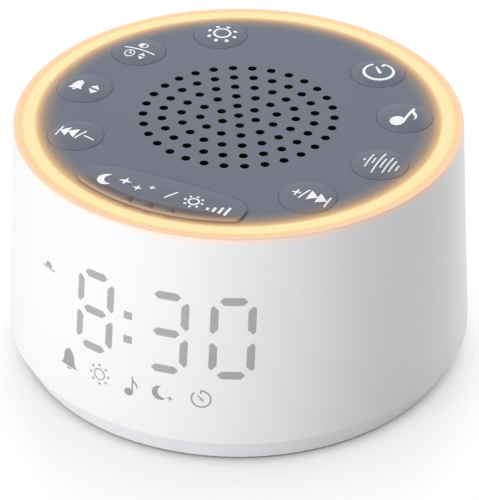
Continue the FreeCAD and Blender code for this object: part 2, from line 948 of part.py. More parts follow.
# Loudspeaker: a pressed basket screwed to the panel's bosses, a magnet with its pole piece,
# and a paper cone with coil and dust cap that moves on a rubber surround.

cone_edge_height = speaker_seat - size.surround_rubber / 2
cone_neck_height = cone_edge_height - size.cone_depth
coil_outer_radius = size.coil_radius + size.coil_wall / 2
coil_inner_radius = size.coil_radius - size.coil_wall / 2
basket_bottom = speaker_seat - size.speaker_sheet - size.basket_depth


def speaker_basket():
    body = new_body("speaker_basket")
    sheet_ = size.speaker_sheet
    foot_inner = coil_outer_radius + size.coil_air
    profile = sketch_on(body, "XZ_Plane")
    outline(profile, [
        (basket_inner_radius, speaker_seat),
        (basket_rim, speaker_seat),
        (basket_rim, speaker_seat - sheet_),
        (basket_inner_radius + sheet_, speaker_seat - sheet_),
        (pole_plate_radius, basket_bottom + sheet_),
        (pole_plate_radius, basket_bottom),
        (foot_inner, basket_bottom),
        (foot_inner, basket_bottom + sheet_),
        (pole_plate_radius - sheet_, basket_bottom + sheet_),
        (basket_inner_radius, speaker_seat - sheet_ * 2),
    ])
    revolve(body, profile)

    # ears for the four screws
    ear = sketch_on(body, lift=speaker_seat - sheet_)
    half = size.speaker_ear_radius
    rectangle(ear, -half, half, -speaker_ear_circle, -(basket_rim - sheet_))
    ear_pad = pad(body, ear, sheet_)
    tip = sketch_on(body, lift=speaker_seat - sheet_)
    circle_at(tip, (0, -speaker_ear_circle), half)
    tip_pad = pad(body, tip, sheet_)
    eye = sketch_on(body, lift=speaker_seat)
    circle_at(eye, (0, -speaker_ear_circle), size.small_shank_radius + size.fit_gap)
    eye_cut = cut(body, eye, sheet_)
    repeat_round(body, [ear_pad, tip_pad, eye_cut], len(speaker_screw_angles))

    # windows in the sloping wall
    middle = (basket_inner_radius + pole_plate_radius + sheet_) / 2
    window = sketch_on(body, lift=speaker_seat)
    half_window = (basket_inner_radius - pole_plate_radius) / 2 - sheet_
    circle_at(window, (0, -middle), half_window)
    window_cut = cut(body, window, size.basket_depth + sheet_)
    repeat_round(body, [window_cut], 6)
    move(body, 0, 0, 0, speaker_screw_angles[0])


def speaker_magnet():
    body = new_body("speaker_magnet")
    top = basket_bottom
    gap_bottom = top - size.pole_plate - size.magnet_height + size.coil_air
    bottom = top - size.pole_plate * 2 - size.magnet_height
    profile = sketch_on(body, "XZ_Plane")
    outline(profile, [
        (0, top),
        (coil_inner_radius - size.coil_air, top),
        (coil_inner_radius - size.coil_air, gap_bottom),
        (coil_outer_radius + size.coil_air, gap_bottom),
        (coil_outer_radius + size.coil_air, top),
        (pole_plate_radius, top),
        (pole_plate_radius, top - size.pole_plate),
        (size.magnet_radius, top - size.pole_plate),
        (size.magnet_radius, bottom + size.pole_plate),
        (pole_plate_radius, bottom + size.pole_plate),
        (pole_plate_radius, bottom),
        (0, bottom),
    ])
    revolve(body, profile)


def speaker_cone():
    body = new_body("speaker_cone")
    profile = sketch_on(body, "XZ_Plane")
    outline(profile, [
        (coil_outer_radius, cone_neck_height - size.cone_paper),
        (cone_radius, cone_edge_height - size.cone_paper),
        (cone_radius, cone_edge_height),
        (coil_outer_radius, cone_neck_height),
    ])
    revolve(body, profile)

    coil = new_body("voice_coil")
    tube = sketch_on(coil, lift=cone_neck_height - size.coil_length)
    circle_at(tube, (0, 0), coil_outer_radius)
    circle_at(tube, (0, 0), coil_inner_radius)
    pad(coil, tube, size.coil_length)

    cap = new_body("dust_cap")
    rise = size.dust_cap_height
    rim = coil_outer_radius
    inner_rise = rise - size.cone_paper
    inner_rim = rim - size.cone_paper
    outer_arc = (rim * rim / rise + rise) / 2
    inner_arc = (inner_rim * inner_rim / inner_rise + inner_rise) / 2
    dome = sketch_on(cap, "XZ_Plane")
    outline(dome, [
        (rim, cone_neck_height),
        (0, cone_neck_height + rise),
        (0, cone_neck_height + inner_rise),
        (inner_rim, cone_neck_height),
    ], {0: outer_arc, 2: -inner_arc})
    revolve(cap, dome)


def speaker_surround():
    """The rubber edge: a flat landing on the basket and one roll down to the cone."""
    body = new_body("speaker_surround")
    rubber = size.surround_rubber
    inner = cone_radius - rubber * 3
    roll_start = cone_radius + rubber / 4
    landing = basket_inner_radius
    low_arc = (landing - roll_start) * 0.56
    high_arc = (landing - roll_start - rubber * 2) * 0.6
    profile = sketch_on(body, "XZ_Plane")
    outline(profile, [
        (inner, cone_edge_height),
        (roll_start, cone_edge_height),
        (landing, speaker_seat),
        (collar_inner_radius - size.fit_gap, speaker_seat),
        (collar_inner_radius - size.fit_gap, speaker_seat + rubber),
        (landing - rubber, speaker_seat + rubber),
        (roll_start + rubber, cone_edge_height + rubber),
        (inner, cone_edge_height + rubber),
    ], {1: low_arc, 5: -high_arc})
    revolve(body, profile)


def screws():
    ear_seat = speaker_seat - size.speaker_sheet
    group("speaker_screws", [
        small_screw("speaker_screw", across, along, ear_seat)
        for across, along in speaker_screw_places
    ])
    board = [
        small_screw("board_screw", across, along, key_board_bottom)
        for across, along in board_screw_places
    ]
    board += [
        small_screw("board_screw", across, along, main_board_top, up=False)
        for across, along in standoff_places
    ]
    group("board_screws", board)
    seat = screw_joint_height - size.base_floor
    head = (size.base_head_radius, size.base_head_height)
    base = []
    for angle in base_screw_angles:
        across, along = from_front(base_screw_circle, angle)
        length = size.post_height - size.wall + size.base_floor
        base.append(screw("base_screw", across, along, seat, *head, size.base_shank_radius, length))
    group("base_screws", base)


# Clock display: a board behind a black reflector, which has a light well for each digit's
# seven segments, for the colon and for the row of icons.

display_half_width = (side_radius(window_top) - size.wall) * sine(window_half_angle)
display_half_width = display_half_width - size.fit_gap * 2


def light_wells():
    """Blocks that cut the wells: they pass through the reflector from front to back."""
    radius = size.seam_radius
    wells = []

    def well(arc, height, width, tall):
        angle = arc * (180 / math.pi) / radius
        middle = radius * sine(angle)
        depth = size.seam_radius - display_back + 2
        wells.append(block(
            "well", middle - width / 2, -(size.seam_radius + 1), height - tall / 2,
            width, depth, tall,
        ))

    segment = size.segment_width
    half_width = (size.digit_width - segment) / 2
    half_height = (size.digit_height - segment) / 2
    level_length = size.digit_width - (segment + size.well_wall) * 2
    upright_length = half_height - segment - size.well_wall
    for place in (-1.5, -0.5, 0.5, 1.5):
        side = 1 if place > 0 else -1
        arc = size.digit_pitch * place + size.colon_width / 2 * side
        for level in (-1, 0, 1):
            well(arc, digit_middle + half_height * level, level_length, segment)
        for edge in (-1, 1):
            for level in (-0.5, 0.5):
                height = digit_middle + half_height * level
                well(arc + half_width * edge, height, segment, upright_length)
    for level in (-0.3, 0.3):
        well(as_size(0), digit_middle + half_height * level, segment, segment)
    for place in (-2, -1, 0, 1, 2):
        well(size.icon_pitch * place, icon_height, size.icon_size, size.icon_size)
    return wells


def display():
    slack = size.fit_gap * 2
    low, high = window_bottom + slack, window_top - slack
    width = display_half_width * 2
    keep(block("display_board", -display_half_width, -display_back,
               low, width, size.board_thickness, high - low), "display_board")

    slab = block("reflector_slab", -display_half_width, -size.seam_radius, low, width,
                 size.seam_radius - display_back, high - low)
    front = doc.addObject("Part::Cone", "reflector_front")
    bind(front, "Radius1", side_radius(low) - size.window_wall - slack)
    bind(front, "Radius2", side_radius(high) - size.window_wall - slack)
    bind(front, "Height", high - low)
    move(front, 0, 0, low)
    curved = doc.addObject("Part::MultiCommon", "reflector_curved")
    curved.Shapes = [slab, front]
    wells = doc.addObject("Part::Compound", "light_wells")
    wells.Links = light_wells()
    reflector = doc.addObject("Part::Cut", "display_reflector")
    reflector.Base = curved
    reflector.Tool = wells
    keep(reflector, "display_reflector")


# Base cover: a shallow tray that closes the housing from below. It has a spigot inside the
# seam, three screw towers, board standoffs, foot recesses and the backup battery's cup.

standoff_places = [
    (standoff_x * side, along)
    for side in (-1, 1)
    for along in (standoff_front, standoff_back)
]
foot_angles = {
    "foot_front_right": 45,
    "foot_rear_right": 135,
    "foot_rear_left": 225,
    "foot_front_left": 315,
}
door_hole_radius = size.door_radius + size.door_gap
lug_radius = size.door_radius + size.lug_reach
lug_half = size.lug_width / 2
cup_radius = root(lug_radius * lug_radius + lug_half * lug_half) + size.door_gap


def lug_outlines(sketch, radius, half, turn, across=0, along=0):
    """One bar across the door's centre, whose two ends are the lugs or their notches."""
    points = []
    for x, y in ((-radius, -half), (radius, -half), (radius, half), (-radius, half)):
        points.append((
            across + x * cosine(turn) - y * sine(turn),
            along + x * sine(turn) + y * cosine(turn),
        ))
    outline(sketch, points)


def base_cover():
    body = new_body("base_cover")
    spigot_outer = size.seam_radius - size.wall - size.spigot_gap
    spigot_inner = spigot_outer - size.spigot_wall
    spigot_tip = side_radius(spigot_top) - size.wall - size.spigot_gap
    profile = sketch_on(body, "XZ_Plane")
    outline(profile, [
        (0, size.foot_rise),
        (base_radius, size.foot_rise),
        (size.seam_radius, size.seam_height),
        (spigot_outer, size.seam_height),
        (spigot_tip, spigot_top),
        (spigot_inner, spigot_top),
        (spigot_inner, floor_top),
        (0, floor_top),
    ])
    revolve(body, profile)
    round_edges(body, size.base_round, is_ring(base_radius, size.foot_rise))

    # screw towers, standoffs and the battery cup stand on the floor
    screw_places = [from_front(base_screw_circle, angle) for angle in base_screw_angles]
    towers = sketch_on(body, lift=floor_top)
    for place in screw_places:
        circle_at(towers, place, size.base_boss_radius)
    pad(body, towers, screw_joint_height - floor_top)
    standoffs = sketch_on(body, lift=floor_top)
    for place in standoff_places:
        circle_at(standoffs, place, size.standoff_radius)
    pad(body, standoffs, size.main_board_height - floor_top)
    cup = sketch_on(body, lift=floor_top)
    door_centre = (size.door_x, size.door_y)
    circle_at(cup, door_centre, cup_radius + size.cup_wall)
    pad(body, cup, cup_ceiling + size.cup_roof - floor_top)

    # holes for the screws
    counterbores = sketch_on(body, lift=size.foot_rise)
    for place in screw_places:
        circle_at(counterbores, place, size.base_head_radius + size.key_gap * 2)
    head_seat = screw_joint_height - size.base_floor
    cut(body, counterbores, head_seat - size.foot_rise, towards_normal=True)
    passages = sketch_on(body, lift=screw_joint_height)
    for place in screw_places:
        circle_at(passages, place, size.base_shank_radius + size.fit_gap)
    cut(body, passages, size.base_floor)
    pilots = sketch_on(body, lift=size.main_board_height)
    for place in standoff_places:
        circle_at(pilots, place, size.small_shank_radius + size.fit_gap)
    cut(body, pilots, size.small_screw_length)

    # the cup's wide part above the floor, the door's hole and the notches that pass its lugs
    chamber = sketch_on(body, lift=floor_top)
    circle_at(chamber, door_centre, cup_radius)
    cut(body, chamber, cup_ceiling - floor_top, towards_normal=True)
    hole = sketch_on(body, lift=size.foot_rise)
    circle_at(hole, door_centre, door_hole_radius)
    cut(body, hole, size.base_floor, towards_normal=True)
    notches = sketch_on(body, lift=size.foot_rise)
    lug_outlines(notches, lug_radius + size.door_gap / 2, lug_half + size.door_gap,
                 size.door_turn, *door_centre)
    cut(body, notches, size.base_floor, towards_normal=True)

    # recesses for the feet
    recesses = sketch_on(body, lift=size.foot_rise)
    for angle in foot_angles.values():
        place = from_front(foot_circle, angle)
        circle_at(recesses, place, size.foot_radius + size.fit_gap)
    cut(body, recesses, size.foot_thickness - size.foot_rise, towards_normal=True)


def rubber_foot(label, angle):
    body = new_body(label)
    bevel = size.foot_rise / 2
    profile = sketch_on(body, "XZ_Plane")
    outline(profile, [
        (0, 0),
        (size.foot_radius - bevel, 0),
        (size.foot_radius, bevel),
        (size.foot_radius, size.foot_thickness),
        (0, size.foot_thickness),
    ])
    revolve(body, profile)
    across, along = from_front(foot_circle, angle)
    move(body, across, along, 0)


# Backup battery: a coin cell under a round door, which a coin turns to free its two lugs.


def battery_door():
    body = new_body("battery_door")
    disc = sketch_on(body)
    circle_at(disc, (0, 0), size.door_radius)
    pad(body, disc, size.door_thickness)
    neck = sketch_on(body, lift=size.door_thickness)
    circle_at(neck, (0, 0), size.door_neck_radius)
    pad(body, neck, cup_top - size.foot_rise - size.door_thickness)
    lugs = sketch_on(body, lift=lug_low - size.foot_rise)
    lug_outlines(lugs, lug_radius, lug_half, as_size(0))
    pad(body, lugs, size.lug_thickness)
    slot = sketch_on(body)
    half_length, half_width = size.slot_length / 2, size.slot_width / 2
    rectangle(slot, -half_length, half_length, -half_width, half_width)
    cut(body, slot, size.slot_depth, towards_normal=True)
    move(body, size.door_x, size.door_y, size.foot_rise)


def coin_cell():
    body = new_body("coin_cell")
    shoulder = size.cell_height - size.cell_cap_height
    profile = sketch_on(body, "XZ_Plane")
    outline(profile, [
        (0, 0),
        (size.cell_radius, 0),
        (size.cell_radius, shoulder),
        (size.cell_cap_radius, shoulder),
        (size.cell_cap_radius, size.cell_height),
        (0, size.cell_height),
    ])
    revolve(body, profile)
    move(body, size.door_x, size.door_y, cell_bottom)


def cell_contacts():
    """Two strips of spring sheet: one bears on the cell's cap, one on its rim."""
    sheet_ = size.contact_sheet
    cap = new_body("cell_contact_negative")
    side = sketch_on(cap, "XZ_Plane")
    reach = size.cell_cap_radius / 2
    drop = cup_ceiling - cell_top
    outline(side, [
        (-reach, -sheet_), (-reach + sheet_, -sheet_), (0, -drop), (reach - sheet_, -sheet_),
        (reach, -sheet_), (reach, 0), (reach - sheet_, 0), (0, sheet_ - drop),
        (-reach + sheet_, 0), (-reach, 0),
    ])
    pad(cap, side, size.contact_width, both_ways=True)
    move(cap, size.door_x, size.door_y, cup_ceiling)

    rim = new_body("cell_contact_positive")
    side = sketch_on(rim, "XZ_Plane")
    inner = size.cell_radius
    low = cell_bottom + size.cell_cap_height - cup_ceiling
    outline(side, [
        (inner, low), (inner + sheet_, low), (inner + sheet_, -sheet_),
        (cup_radius - sheet_, -sheet_), (cup_radius - sheet_, 0), (inner, 0),
    ])
    pad(rim, side, size.contact_width, both_ways=True)
    move(rim, size.door_x, size.door_y, cup_ceiling)


# Main board at the back of the tray, with the power inlet in its middle, the sound chip to
# the left of it and the key board's ribbon to the right.


def main_board():
    body = new_body("main_board")
    half = size.main_board_half_width
    tab = size.inlet_tab_half_width
    plate = sketch_on(body, lift=size.main_board_height)
    outline(plate, [
        (-half, main_board_front),
        (half, main_board_front),
        (half, main_board_back),
        (tab, main_board_back),
        (tab, inlet_tab_back),
        (-tab, inlet_tab_back),
        (-tab, main_board_back),
        (-half, main_board_back),
    ])
    pad(body, plate, size.board_thickness)
    holes = sketch_on(body, lift=main_board_top)
    for place in standoff_places:
        circle_at(holes, place, size.small_shank_radius + size.fit_gap * 2)
    cut(body, holes, size.board_thickness)
    chip_left = -(chip_aside + size.chip_width / 2)
    chip_front = (main_board_front + main_board_back - size.chip_width) / 2
    keep(block("sound_chip", chip_left, chip_front, main_board_top,
               size.chip_width, size.chip_width, size.chip_height), "sound_chip")


def power_inlet():
    """A socket shell drawn on a plane across the board, with a tongue inside it."""
    body = new_body("usb_c_port")
    tube = sketch_on(body, "XZ_Plane", lift=-port_mouth)
    port_outline(tube, 0)
    pad(body, tube, size.port_length)
    mouth = sketch_on(body, "XZ_Plane", lift=-port_mouth)
    port_outline(mouth, -size.port_sheet)
    cut(body, mouth, size.port_length - size.port_sheet, towards_normal=True)


def port_tongue():
    half = size.tongue_width / 2
    root_end = port_mouth - size.port_length + size.port_sheet
    length = size.port_length - size.port_sheet - (size.port_length - size.tongue_length) / 4
    keep(block("usb_c_tongue", -half, root_end, port_middle - size.tongue_thickness / 2,
               size.tongue_width, length, size.tongue_thickness), "usb_c_tongue")


# Inner wiring: flat ribbons from the display and the key board to the main board, and the
# speaker's two leads.


def ribbon(label, across, points):
    """A flat ribbon through points of the plane across X, with its bends rounded."""
    body = new_body(label)
    half = as_size(size.ribbon_thickness / 2)
    side = sketch_on(body, "YZ_Plane", lift=across)
    near = []
    far = []
    for index, (along, up) in enumerate(points):
        previous = points[max(index - 1, 0)]
        following = points[min(index + 1, len(points) - 1)]
        step_y = as_size(following[0]) - previous[0]
        step_z = as_size(following[1]) - previous[1]
        length = root(step_y * step_y + step_z * step_z)
        near.append((along - half * step_z / length, up + half * step_y / length))
        far.append((along + half * step_z / length, up - half * step_y / length))
    outline(side, near + far[::-1])
    pad(body, side, size.ribbon_width, both_ways=True)


def wiring():
    bend = size.ribbon_bend
    clear = size.ribbon_thickness / 2
    board_back = as_size(-(display_back - size.board_thickness))
    board_edge = main_board_front
    start = window_bottom + bend * 2
    ribbon("display_ribbon", as_size(0), [
        (board_back, start),
        (board_back + bend, start),
        (board_back + bend * 2, start - bend / 2),
        (board_edge - bend * 2, main_board_top + bend / 2),
        (board_edge, main_board_top + clear * 3),
        (board_edge + bend, main_board_top + clear),
    ])
    landing = key_board_inner_radius + bend
    ribbon("key_ribbon", chip_aside, [
        (landing, key_board_bottom),
        (landing, key_board_bottom - bend),
        (landing + bend, key_board_bottom - bend * 3),
        (landing + bend, main_board_top + bend * 3),
        (landing + bend / 2, main_board_top + bend),
        (landing + bend / 2, main_board_top),
    ])


def speaker_leads():
    """Two thin wires, each a pipe of straight runs and tangent arcs."""
    leads = []
    bend = size.ribbon_bend
    top = speaker_seat - size.speaker_sheet
    turn = (top + main_board_top) / 2 + bend
    for side in (-1, 1):
        body = doc.addObject("PartDesign::Body", "lead")
        path = sketch_on(body, "YZ_Plane", lift=size.lead_spacing / 2 * side)
        open_path(path, [
            (lead_start, top),
            (lead_start, turn),
            (lead_start + bend, turn - bend),
            (lead_end, turn - bend * 2),
            (lead_end, main_board_top),
        ], {1: bend, 2: -bend})
        section = sketch_on(body, lift=top)
        circle_at(section, (size.lead_spacing / 2 * side, lead_start), size.lead_radius)
        pipe = body.newObject("PartDesign::AdditivePipe", "AdditivePipe")
        pipe.Profile = section
        pipe.Spine = path
        doc.recompute()
        leads.append(body)
    group("speaker_leads", leads)


def open_path(sketch, points, arcs):
    """An open line of straight runs and arcs, held at its points as an outline is."""
    corners = [FreeCAD.Vector(as_size(x).value, as_size(y).value, 0) for x, y in points]
    sides = []
    for index, (start, end) in enumerate(zip(corners, corners[1:])):
        if index in arcs:
            sides.append(arc_side(sketch, start, end, as_size(arcs[index])))
        else:
            sides.append((sketch.addGeometry(Part.LineSegment(start, end)), 1, 2))
    for (first, _, last_end), (following, next_end, _) in zip(sides, sides[1:]):
        sketch.addConstraint(Sketcher.Constraint("Coincident", first, last_end, following, next_end))
    for (geometry, first_end, _), point in zip(sides, points):
        hold(sketch, geometry, first_end, point)
    hold(sketch, sides[-1][0], sides[-1][2], points[-1])


housing_shell()
light_ring()
top_panel()
grille_cloth()
keys()
key_board()
ring_lamps()
speaker_basket()
speaker_magnet()
speaker_cone()
speaker_surround()
screws()
display()
base_cover()
for foot, foot_angle in foot_angles.items():
    rubber_foot(foot, foot_angle)
battery_door()
coin_cell()
cell_contacts()
main_board()
power_inlet()
port_tongue()
wiring()
speaker_leads()

doc.recompute()
faulty = [item.Label for item in doc.Objects if {"Invalid", "Error"} & set(item.State)]
for label, thing in sub_parts.items():
    if thing.Shape.isNull() or not thing.Shape.isValid():
        faulty.append(label)
if faulty:
    raise RuntimeError(f"these did not build: {faulty}")

os.makedirs("parts", exist_ok=True)
for label, thing in sub_parts.items():
    thing.Shape.exportStep(f"parts/{label}.step")
print(len(sub_parts), "sub-parts")
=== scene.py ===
import math

import bmesh
import bpy
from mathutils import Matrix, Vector
from mathutils.bvhtree import BVHTree


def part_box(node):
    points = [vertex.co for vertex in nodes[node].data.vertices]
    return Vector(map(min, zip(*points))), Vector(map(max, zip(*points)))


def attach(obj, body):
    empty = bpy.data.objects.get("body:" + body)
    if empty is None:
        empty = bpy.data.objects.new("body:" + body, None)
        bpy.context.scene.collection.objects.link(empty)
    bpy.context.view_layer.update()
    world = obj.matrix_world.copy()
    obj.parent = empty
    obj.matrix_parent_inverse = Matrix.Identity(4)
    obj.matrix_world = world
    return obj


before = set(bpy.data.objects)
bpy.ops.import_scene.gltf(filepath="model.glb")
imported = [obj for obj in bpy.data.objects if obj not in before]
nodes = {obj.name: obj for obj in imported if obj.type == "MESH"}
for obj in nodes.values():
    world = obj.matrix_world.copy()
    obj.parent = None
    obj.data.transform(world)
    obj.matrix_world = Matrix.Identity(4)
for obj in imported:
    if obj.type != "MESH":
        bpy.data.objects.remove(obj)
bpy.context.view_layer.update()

# Housing shell: one thin-walled moulding of white ABS with a satin polish. It widens from
# the lip to the seam. Next to the lit ring its lip is painted orange and given a faint glow,
# painted light that fades over a few millimetres.

MM = 0.001
shell_white = (0.85, 0.855, 0.87)
painted_lip_glow_tint = (1.0, 0.62, 0.36)
painted_lip_glow_light = (1.0, 0.40, 0.10)
painted_lip_glow_strength = 0.3
painted_lip_glow_start = 0.2
painted_lip_glow_reach = 4.2
painted_lip_glow_fade = 1.7
ring_outer_radius = 50.1
top_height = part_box("light_ring")[1].z / MM


class Finish:
    """A material with one Principled shader, and short ways to add nodes to it."""

    def __init__(self, name, colour, roughness, **sockets):
        self.material = bpy.data.materials.new(name)
        self.material.use_nodes = True
        self.nodes = self.material.node_tree.nodes
        self.links = self.material.node_tree.links
        self.shader = self.nodes["Principled BSDF"]
        self.colour = colour
        self.put("Base Color", colour)
        self.put("Roughness", roughness)
        for socket, value in sockets.items():
            self.put(socket.replace("_", " "), value)
        self.place = self.node("ShaderNodeTexCoord").outputs["Object"]

    def node(self, kind, settings=None, **inputs):
        """Adds a node. An input is a number, a colour or another node's output."""
        made = self.nodes.new(kind)
        for name, value in (settings or {}).items():
            setattr(made, name, value)
        for name, value in inputs.items():
            socket = made.inputs[int(name[1:])] if name[1:].isdigit() else made.inputs[name]
            if isinstance(value, bpy.types.NodeSocket):
                self.links.new(value, socket)
            else:
                socket.default_value = value
        return made

    def put(self, socket, value):
        """Gives the shader a number, a colour or another node's output."""
        target = self.shader.inputs[socket]
        if isinstance(value, bpy.types.NodeSocket):
            self.links.new(value, target)
        elif isinstance(value, tuple):
            target.default_value = (*value, 1)
        else:
            target.default_value = value

    def calc(self, operation, first, second=0.0):
        """A number worked out from one or two others."""
        made = self.node("ShaderNodeMath", {"operation": operation}, _0=first, _1=second)
        return made.outputs[0]

    def radius(self):
        """Distance from the object's upright axis, in millimetres."""
        flat = self.node("ShaderNodeVectorMath", {"operation": "MULTIPLY"},
                         _0=self.place, _1=(1 / MM, 1 / MM, 0))
        return self.node("ShaderNodeVectorMath", {"operation": "LENGTH"},
                         _0=flat.outputs[0]).outputs["Value"]

    def height(self):
        """Height above the table, in millimetres."""
        split = self.node("ShaderNodeSeparateXYZ", _0=self.place)
        return self.calc("MULTIPLY", split.outputs["Z"], 1 / MM)

    def noise(self, size_mm, detail=3.0):
        """Soft random mottling whose blots are about size_mm across."""
        return self.node("ShaderNodeTexNoise", Vector=self.place,
                         Scale=1 / (size_mm * MM), Detail=detail).outputs["Fac"]

    def span(self, value, low, high, to_low=0.0, to_high=1.0):
        """Maps a range of values to another range, and holds it at both ends."""
        made = self.node("ShaderNodeMapRange", Value=value)
        for name, number in (("From Min", low), ("From Max", high),
                             ("To Min", to_low), ("To Max", to_high)):
            made.inputs[name].default_value = number
        return made.outputs[0]

    def blend(self, share, first, second):
        """A colour between two colours."""
        made = self.node("ShaderNodeMix", {"data_type": "RGBA"}, _0=share)
        for socket, colour in ((made.inputs[6], first), (made.inputs[7], second)):
            if isinstance(colour, bpy.types.NodeSocket):
                self.links.new(colour, socket)
            else:
                socket.default_value = (*colour, 1)
        return made.outputs[2]

    def tint(self, blot_mm, amount):
        """Colour that drifts a little darker and lighter over the surface."""
        darker = tuple(level * (1 - amount) for level in self.colour)
        lighter = tuple(min(1, level * (1 + amount)) for level in self.colour)
        colour = self.blend(self.noise(blot_mm), darker, lighter)
        self.put("Base Color", colour)
        return colour

    def wear(self, blot_mm, low, high):
        """Roughness that changes a little over the surface, as handling leaves it."""
        self.put("Roughness", self.span(self.noise(blot_mm, 5), 0.3, 0.7, low, high))

    def bumps(self, height, depth_mm):
        """Relief from a height of 0 to 1, as deep as depth_mm."""
        made = self.node("ShaderNodeBump", Height=height, Distance=depth_mm * MM)
        self.put("Normal", made.outputs[0])

    def on(self, *names):
        """Puts the finish on nodes of the frame."""
        for name in names:
            nodes[name].data.materials.clear()
            nodes[name].data.materials.append(self.material)


housing_finish = Finish("housing_white", shell_white, 0.36, Specular_IOR_Level=0.42)
plain_white = housing_finish.tint(28, 0.012)
housing_finish.wear(9, 0.33, 0.40)
housing_finish.bumps(housing_finish.noise(0.35, 2), 0.004)
# painted light: near the ring the lip's colour turns orange and it glows, fading with distance
outward = housing_finish.calc("SUBTRACT", housing_finish.radius(), ring_outer_radius)
downward = housing_finish.calc("SUBTRACT", top_height, housing_finish.height())
from_ring = housing_finish.calc("ADD", outward, downward)
near_ring = housing_finish.span(from_ring, painted_lip_glow_start, painted_lip_glow_reach, 1, 0)
painted_lip_glow_share = housing_finish.calc("POWER", near_ring, painted_lip_glow_fade)
housing_finish.put("Base Color", housing_finish.blend(painted_lip_glow_share, plain_white, painted_lip_glow_tint))
housing_finish.put("Emission Color", painted_lip_glow_light)
housing_finish.put("Emission Strength", housing_finish.calc("MULTIPLY", painted_lip_glow_share, painted_lip_glow_strength))
housing_finish.on("housing_shell")

# Base cover: a shallow tray of the same white ABS, screwed on from below. Its white is a little
# darker and bluer than the housing's, painted shade that sets the band off from the wall. Its outer band
# slopes in to the table and has a slightly coarser skin than the polished housing.

base_white_with_painted_shade = (0.80, 0.803, 0.825)
base_finish = Finish("base_white_with_painted_shade", base_white_with_painted_shade, 0.45, Specular_IOR_Level=0.4)
base_finish.tint(20, 0.015)
base_finish.wear(6, 0.40, 0.50)
base_finish.bumps(base_finish.noise(0.5, 3), 0.01)
base_finish.on("base_cover")

# Light ring: a clear acrylic light guide with a milky top face, on a shelf inside the
# housing's lip. Small lamps below make all of it glow in warm white, palest midway across.


def display_colour(red, green, blue):
    """A colour as a screen shows it, 0 to 255, turned into the linear values of a shader."""
    parts = []
    for level in (red, green, blue):
        level /= 255
        parts.append(level / 12.92 if level <= 0.04045 else ((level + 0.055) / 1.055) ** 2.4)
    return tuple(parts)


ring_inner_radius = 46.4
ring_inner_glow = display_colour(238, 202, 146)
ring_middle_glow = display_colour(250, 232, 174)
ring_edge_glow = display_colour(241, 208, 156)
ring_middle_span = (0.16, 0.72)
ring_brightness = 0.97
ring_unlit = (0.03, 0.028, 0.022)

ring_finish = Finish("ring_milky", ring_unlit, 0.5, Specular_IOR_Level=0.15)
ring_finish.tint(12, 0.05)
ring_finish.wear(5, 0.46, 0.54)
ring_finish.bumps(ring_finish.noise(0.4, 2), 0.003)
across_ring = ring_finish.span(ring_finish.radius(), ring_inner_radius, ring_outer_radius)
ring_glow = ring_finish.node("ShaderNodeValToRGB", Fac=across_ring)
ring_stops = ring_glow.color_ramp.elements
ring_stops[0].color = (*ring_inner_glow, 1)
ring_stops[1].color = (*ring_edge_glow, 1)
for position in ring_middle_span:
    ring_stops.new(position).color = (*ring_middle_glow, 1)
ring_finish.put("Emission Color", ring_glow.outputs["Color"])
ring_finish.put("Emission Strength", ring_brightness)
ring_finish.on("light_ring")

# Top panel: a flat grey disc that snaps down on the ring's ledge, moulded with a fine matt
# spark texture and ninety-one round speaker holes. The ring's orange glow on its rim is painted light.

panel_grain, panel_grain_depth = 0.22, 0.012
panel_grey = display_colour(128, 132, 146)
painted_rim_glow_stops = (
    (41.2, panel_grey),
    (42.6, display_colour(139, 138, 145)),
    (43.4, display_colour(152, 146, 144)),
    (44.3, display_colour(171, 153, 143)),
    (45.3, display_colour(204, 170, 142)),
    (46.3, display_colour(228, 189, 146)),
)
painted_rim_glow_low, painted_rim_glow_full = top_height - 1.2, top_height - 0.4
painted_rim_light = (1.0, 0.58, 0.28)
painted_rim_light_start = 44.8
painted_rim_light_strength = 0.16


def grey_with_painted_rim_glow(name, grain_mm, grain_depth, light_start, light_strength):
    """The matt grey of the panel and its caps, with the ring's orange glow painted on close to
    the ring, and a little painted light given off by the rim of the moulding."""
    finish = Finish(name, panel_grey, 0.75, Specular_IOR_Level=0.15)
    grey = finish.tint(14, 0.025)
    finish.wear(4, 0.70, 0.80)
    finish.bumps(finish.noise(grain_mm, 2), grain_depth)
    # painted light: the ring's orange glow laid on the grey by radius, and a faint emission at the rim
    first, last = painted_rim_glow_stops[0][0], painted_rim_glow_stops[-1][0]
    share = finish.span(finish.radius(), first, last)
    ramp = finish.node("ShaderNodeValToRGB", Fac=share)
    stops = ramp.color_ramp.elements
    stops[0].color = (*painted_rim_glow_stops[0][1], 1)
    stops[1].color = (*painted_rim_glow_stops[-1][1], 1)
    for radius, colour in painted_rim_glow_stops[1:-1]:
        stops.new((radius - first) / (last - first)).color = (*colour, 1)
    lit = finish.span(finish.radius(), first, first + 1)
    above = finish.span(finish.height(), painted_rim_glow_low, painted_rim_glow_full)
    colour = finish.blend(finish.calc("MULTIPLY", lit, above), grey, ramp.outputs["Color"])
    finish.put("Base Color", colour)
    finish.put("Emission Color", painted_rim_light)
    finish.put("Emission Strength", finish.span(finish.radius(), light_start, last, 0, light_strength))
    return finish, colour


panel_finish, panel_colour = grey_with_painted_rim_glow("panel_grey_matt", panel_grain, panel_grain_depth,
                                                painted_rim_light_start, painted_rim_light_strength)

# the walls of the speaker holes are painted nearly black below the top face: painted shade, as the cloth
# below them swallows light
grille_radius = 24.5
painted_hole_shade = (0.002, 0.002, 0.002)
dark_below, light_above = top_height - 0.06, top_height - 0.015
in_grille = panel_finish.span(panel_finish.radius(), grille_radius, grille_radius + 1, 1, 0)
in_hole = panel_finish.span(panel_finish.height(), dark_below, light_above, 1, 0)
dark = panel_finish.calc("MULTIPLY", in_grille, in_hole)
panel_finish.put("Base Color", panel_finish.blend(dark, panel_colour, painted_hole_shade))
panel_finish.on("top_panel")

# Grille cloth: black acoustic cloth glued under the speaker holes, a fine plain weave that
# keeps dust out of the cone.

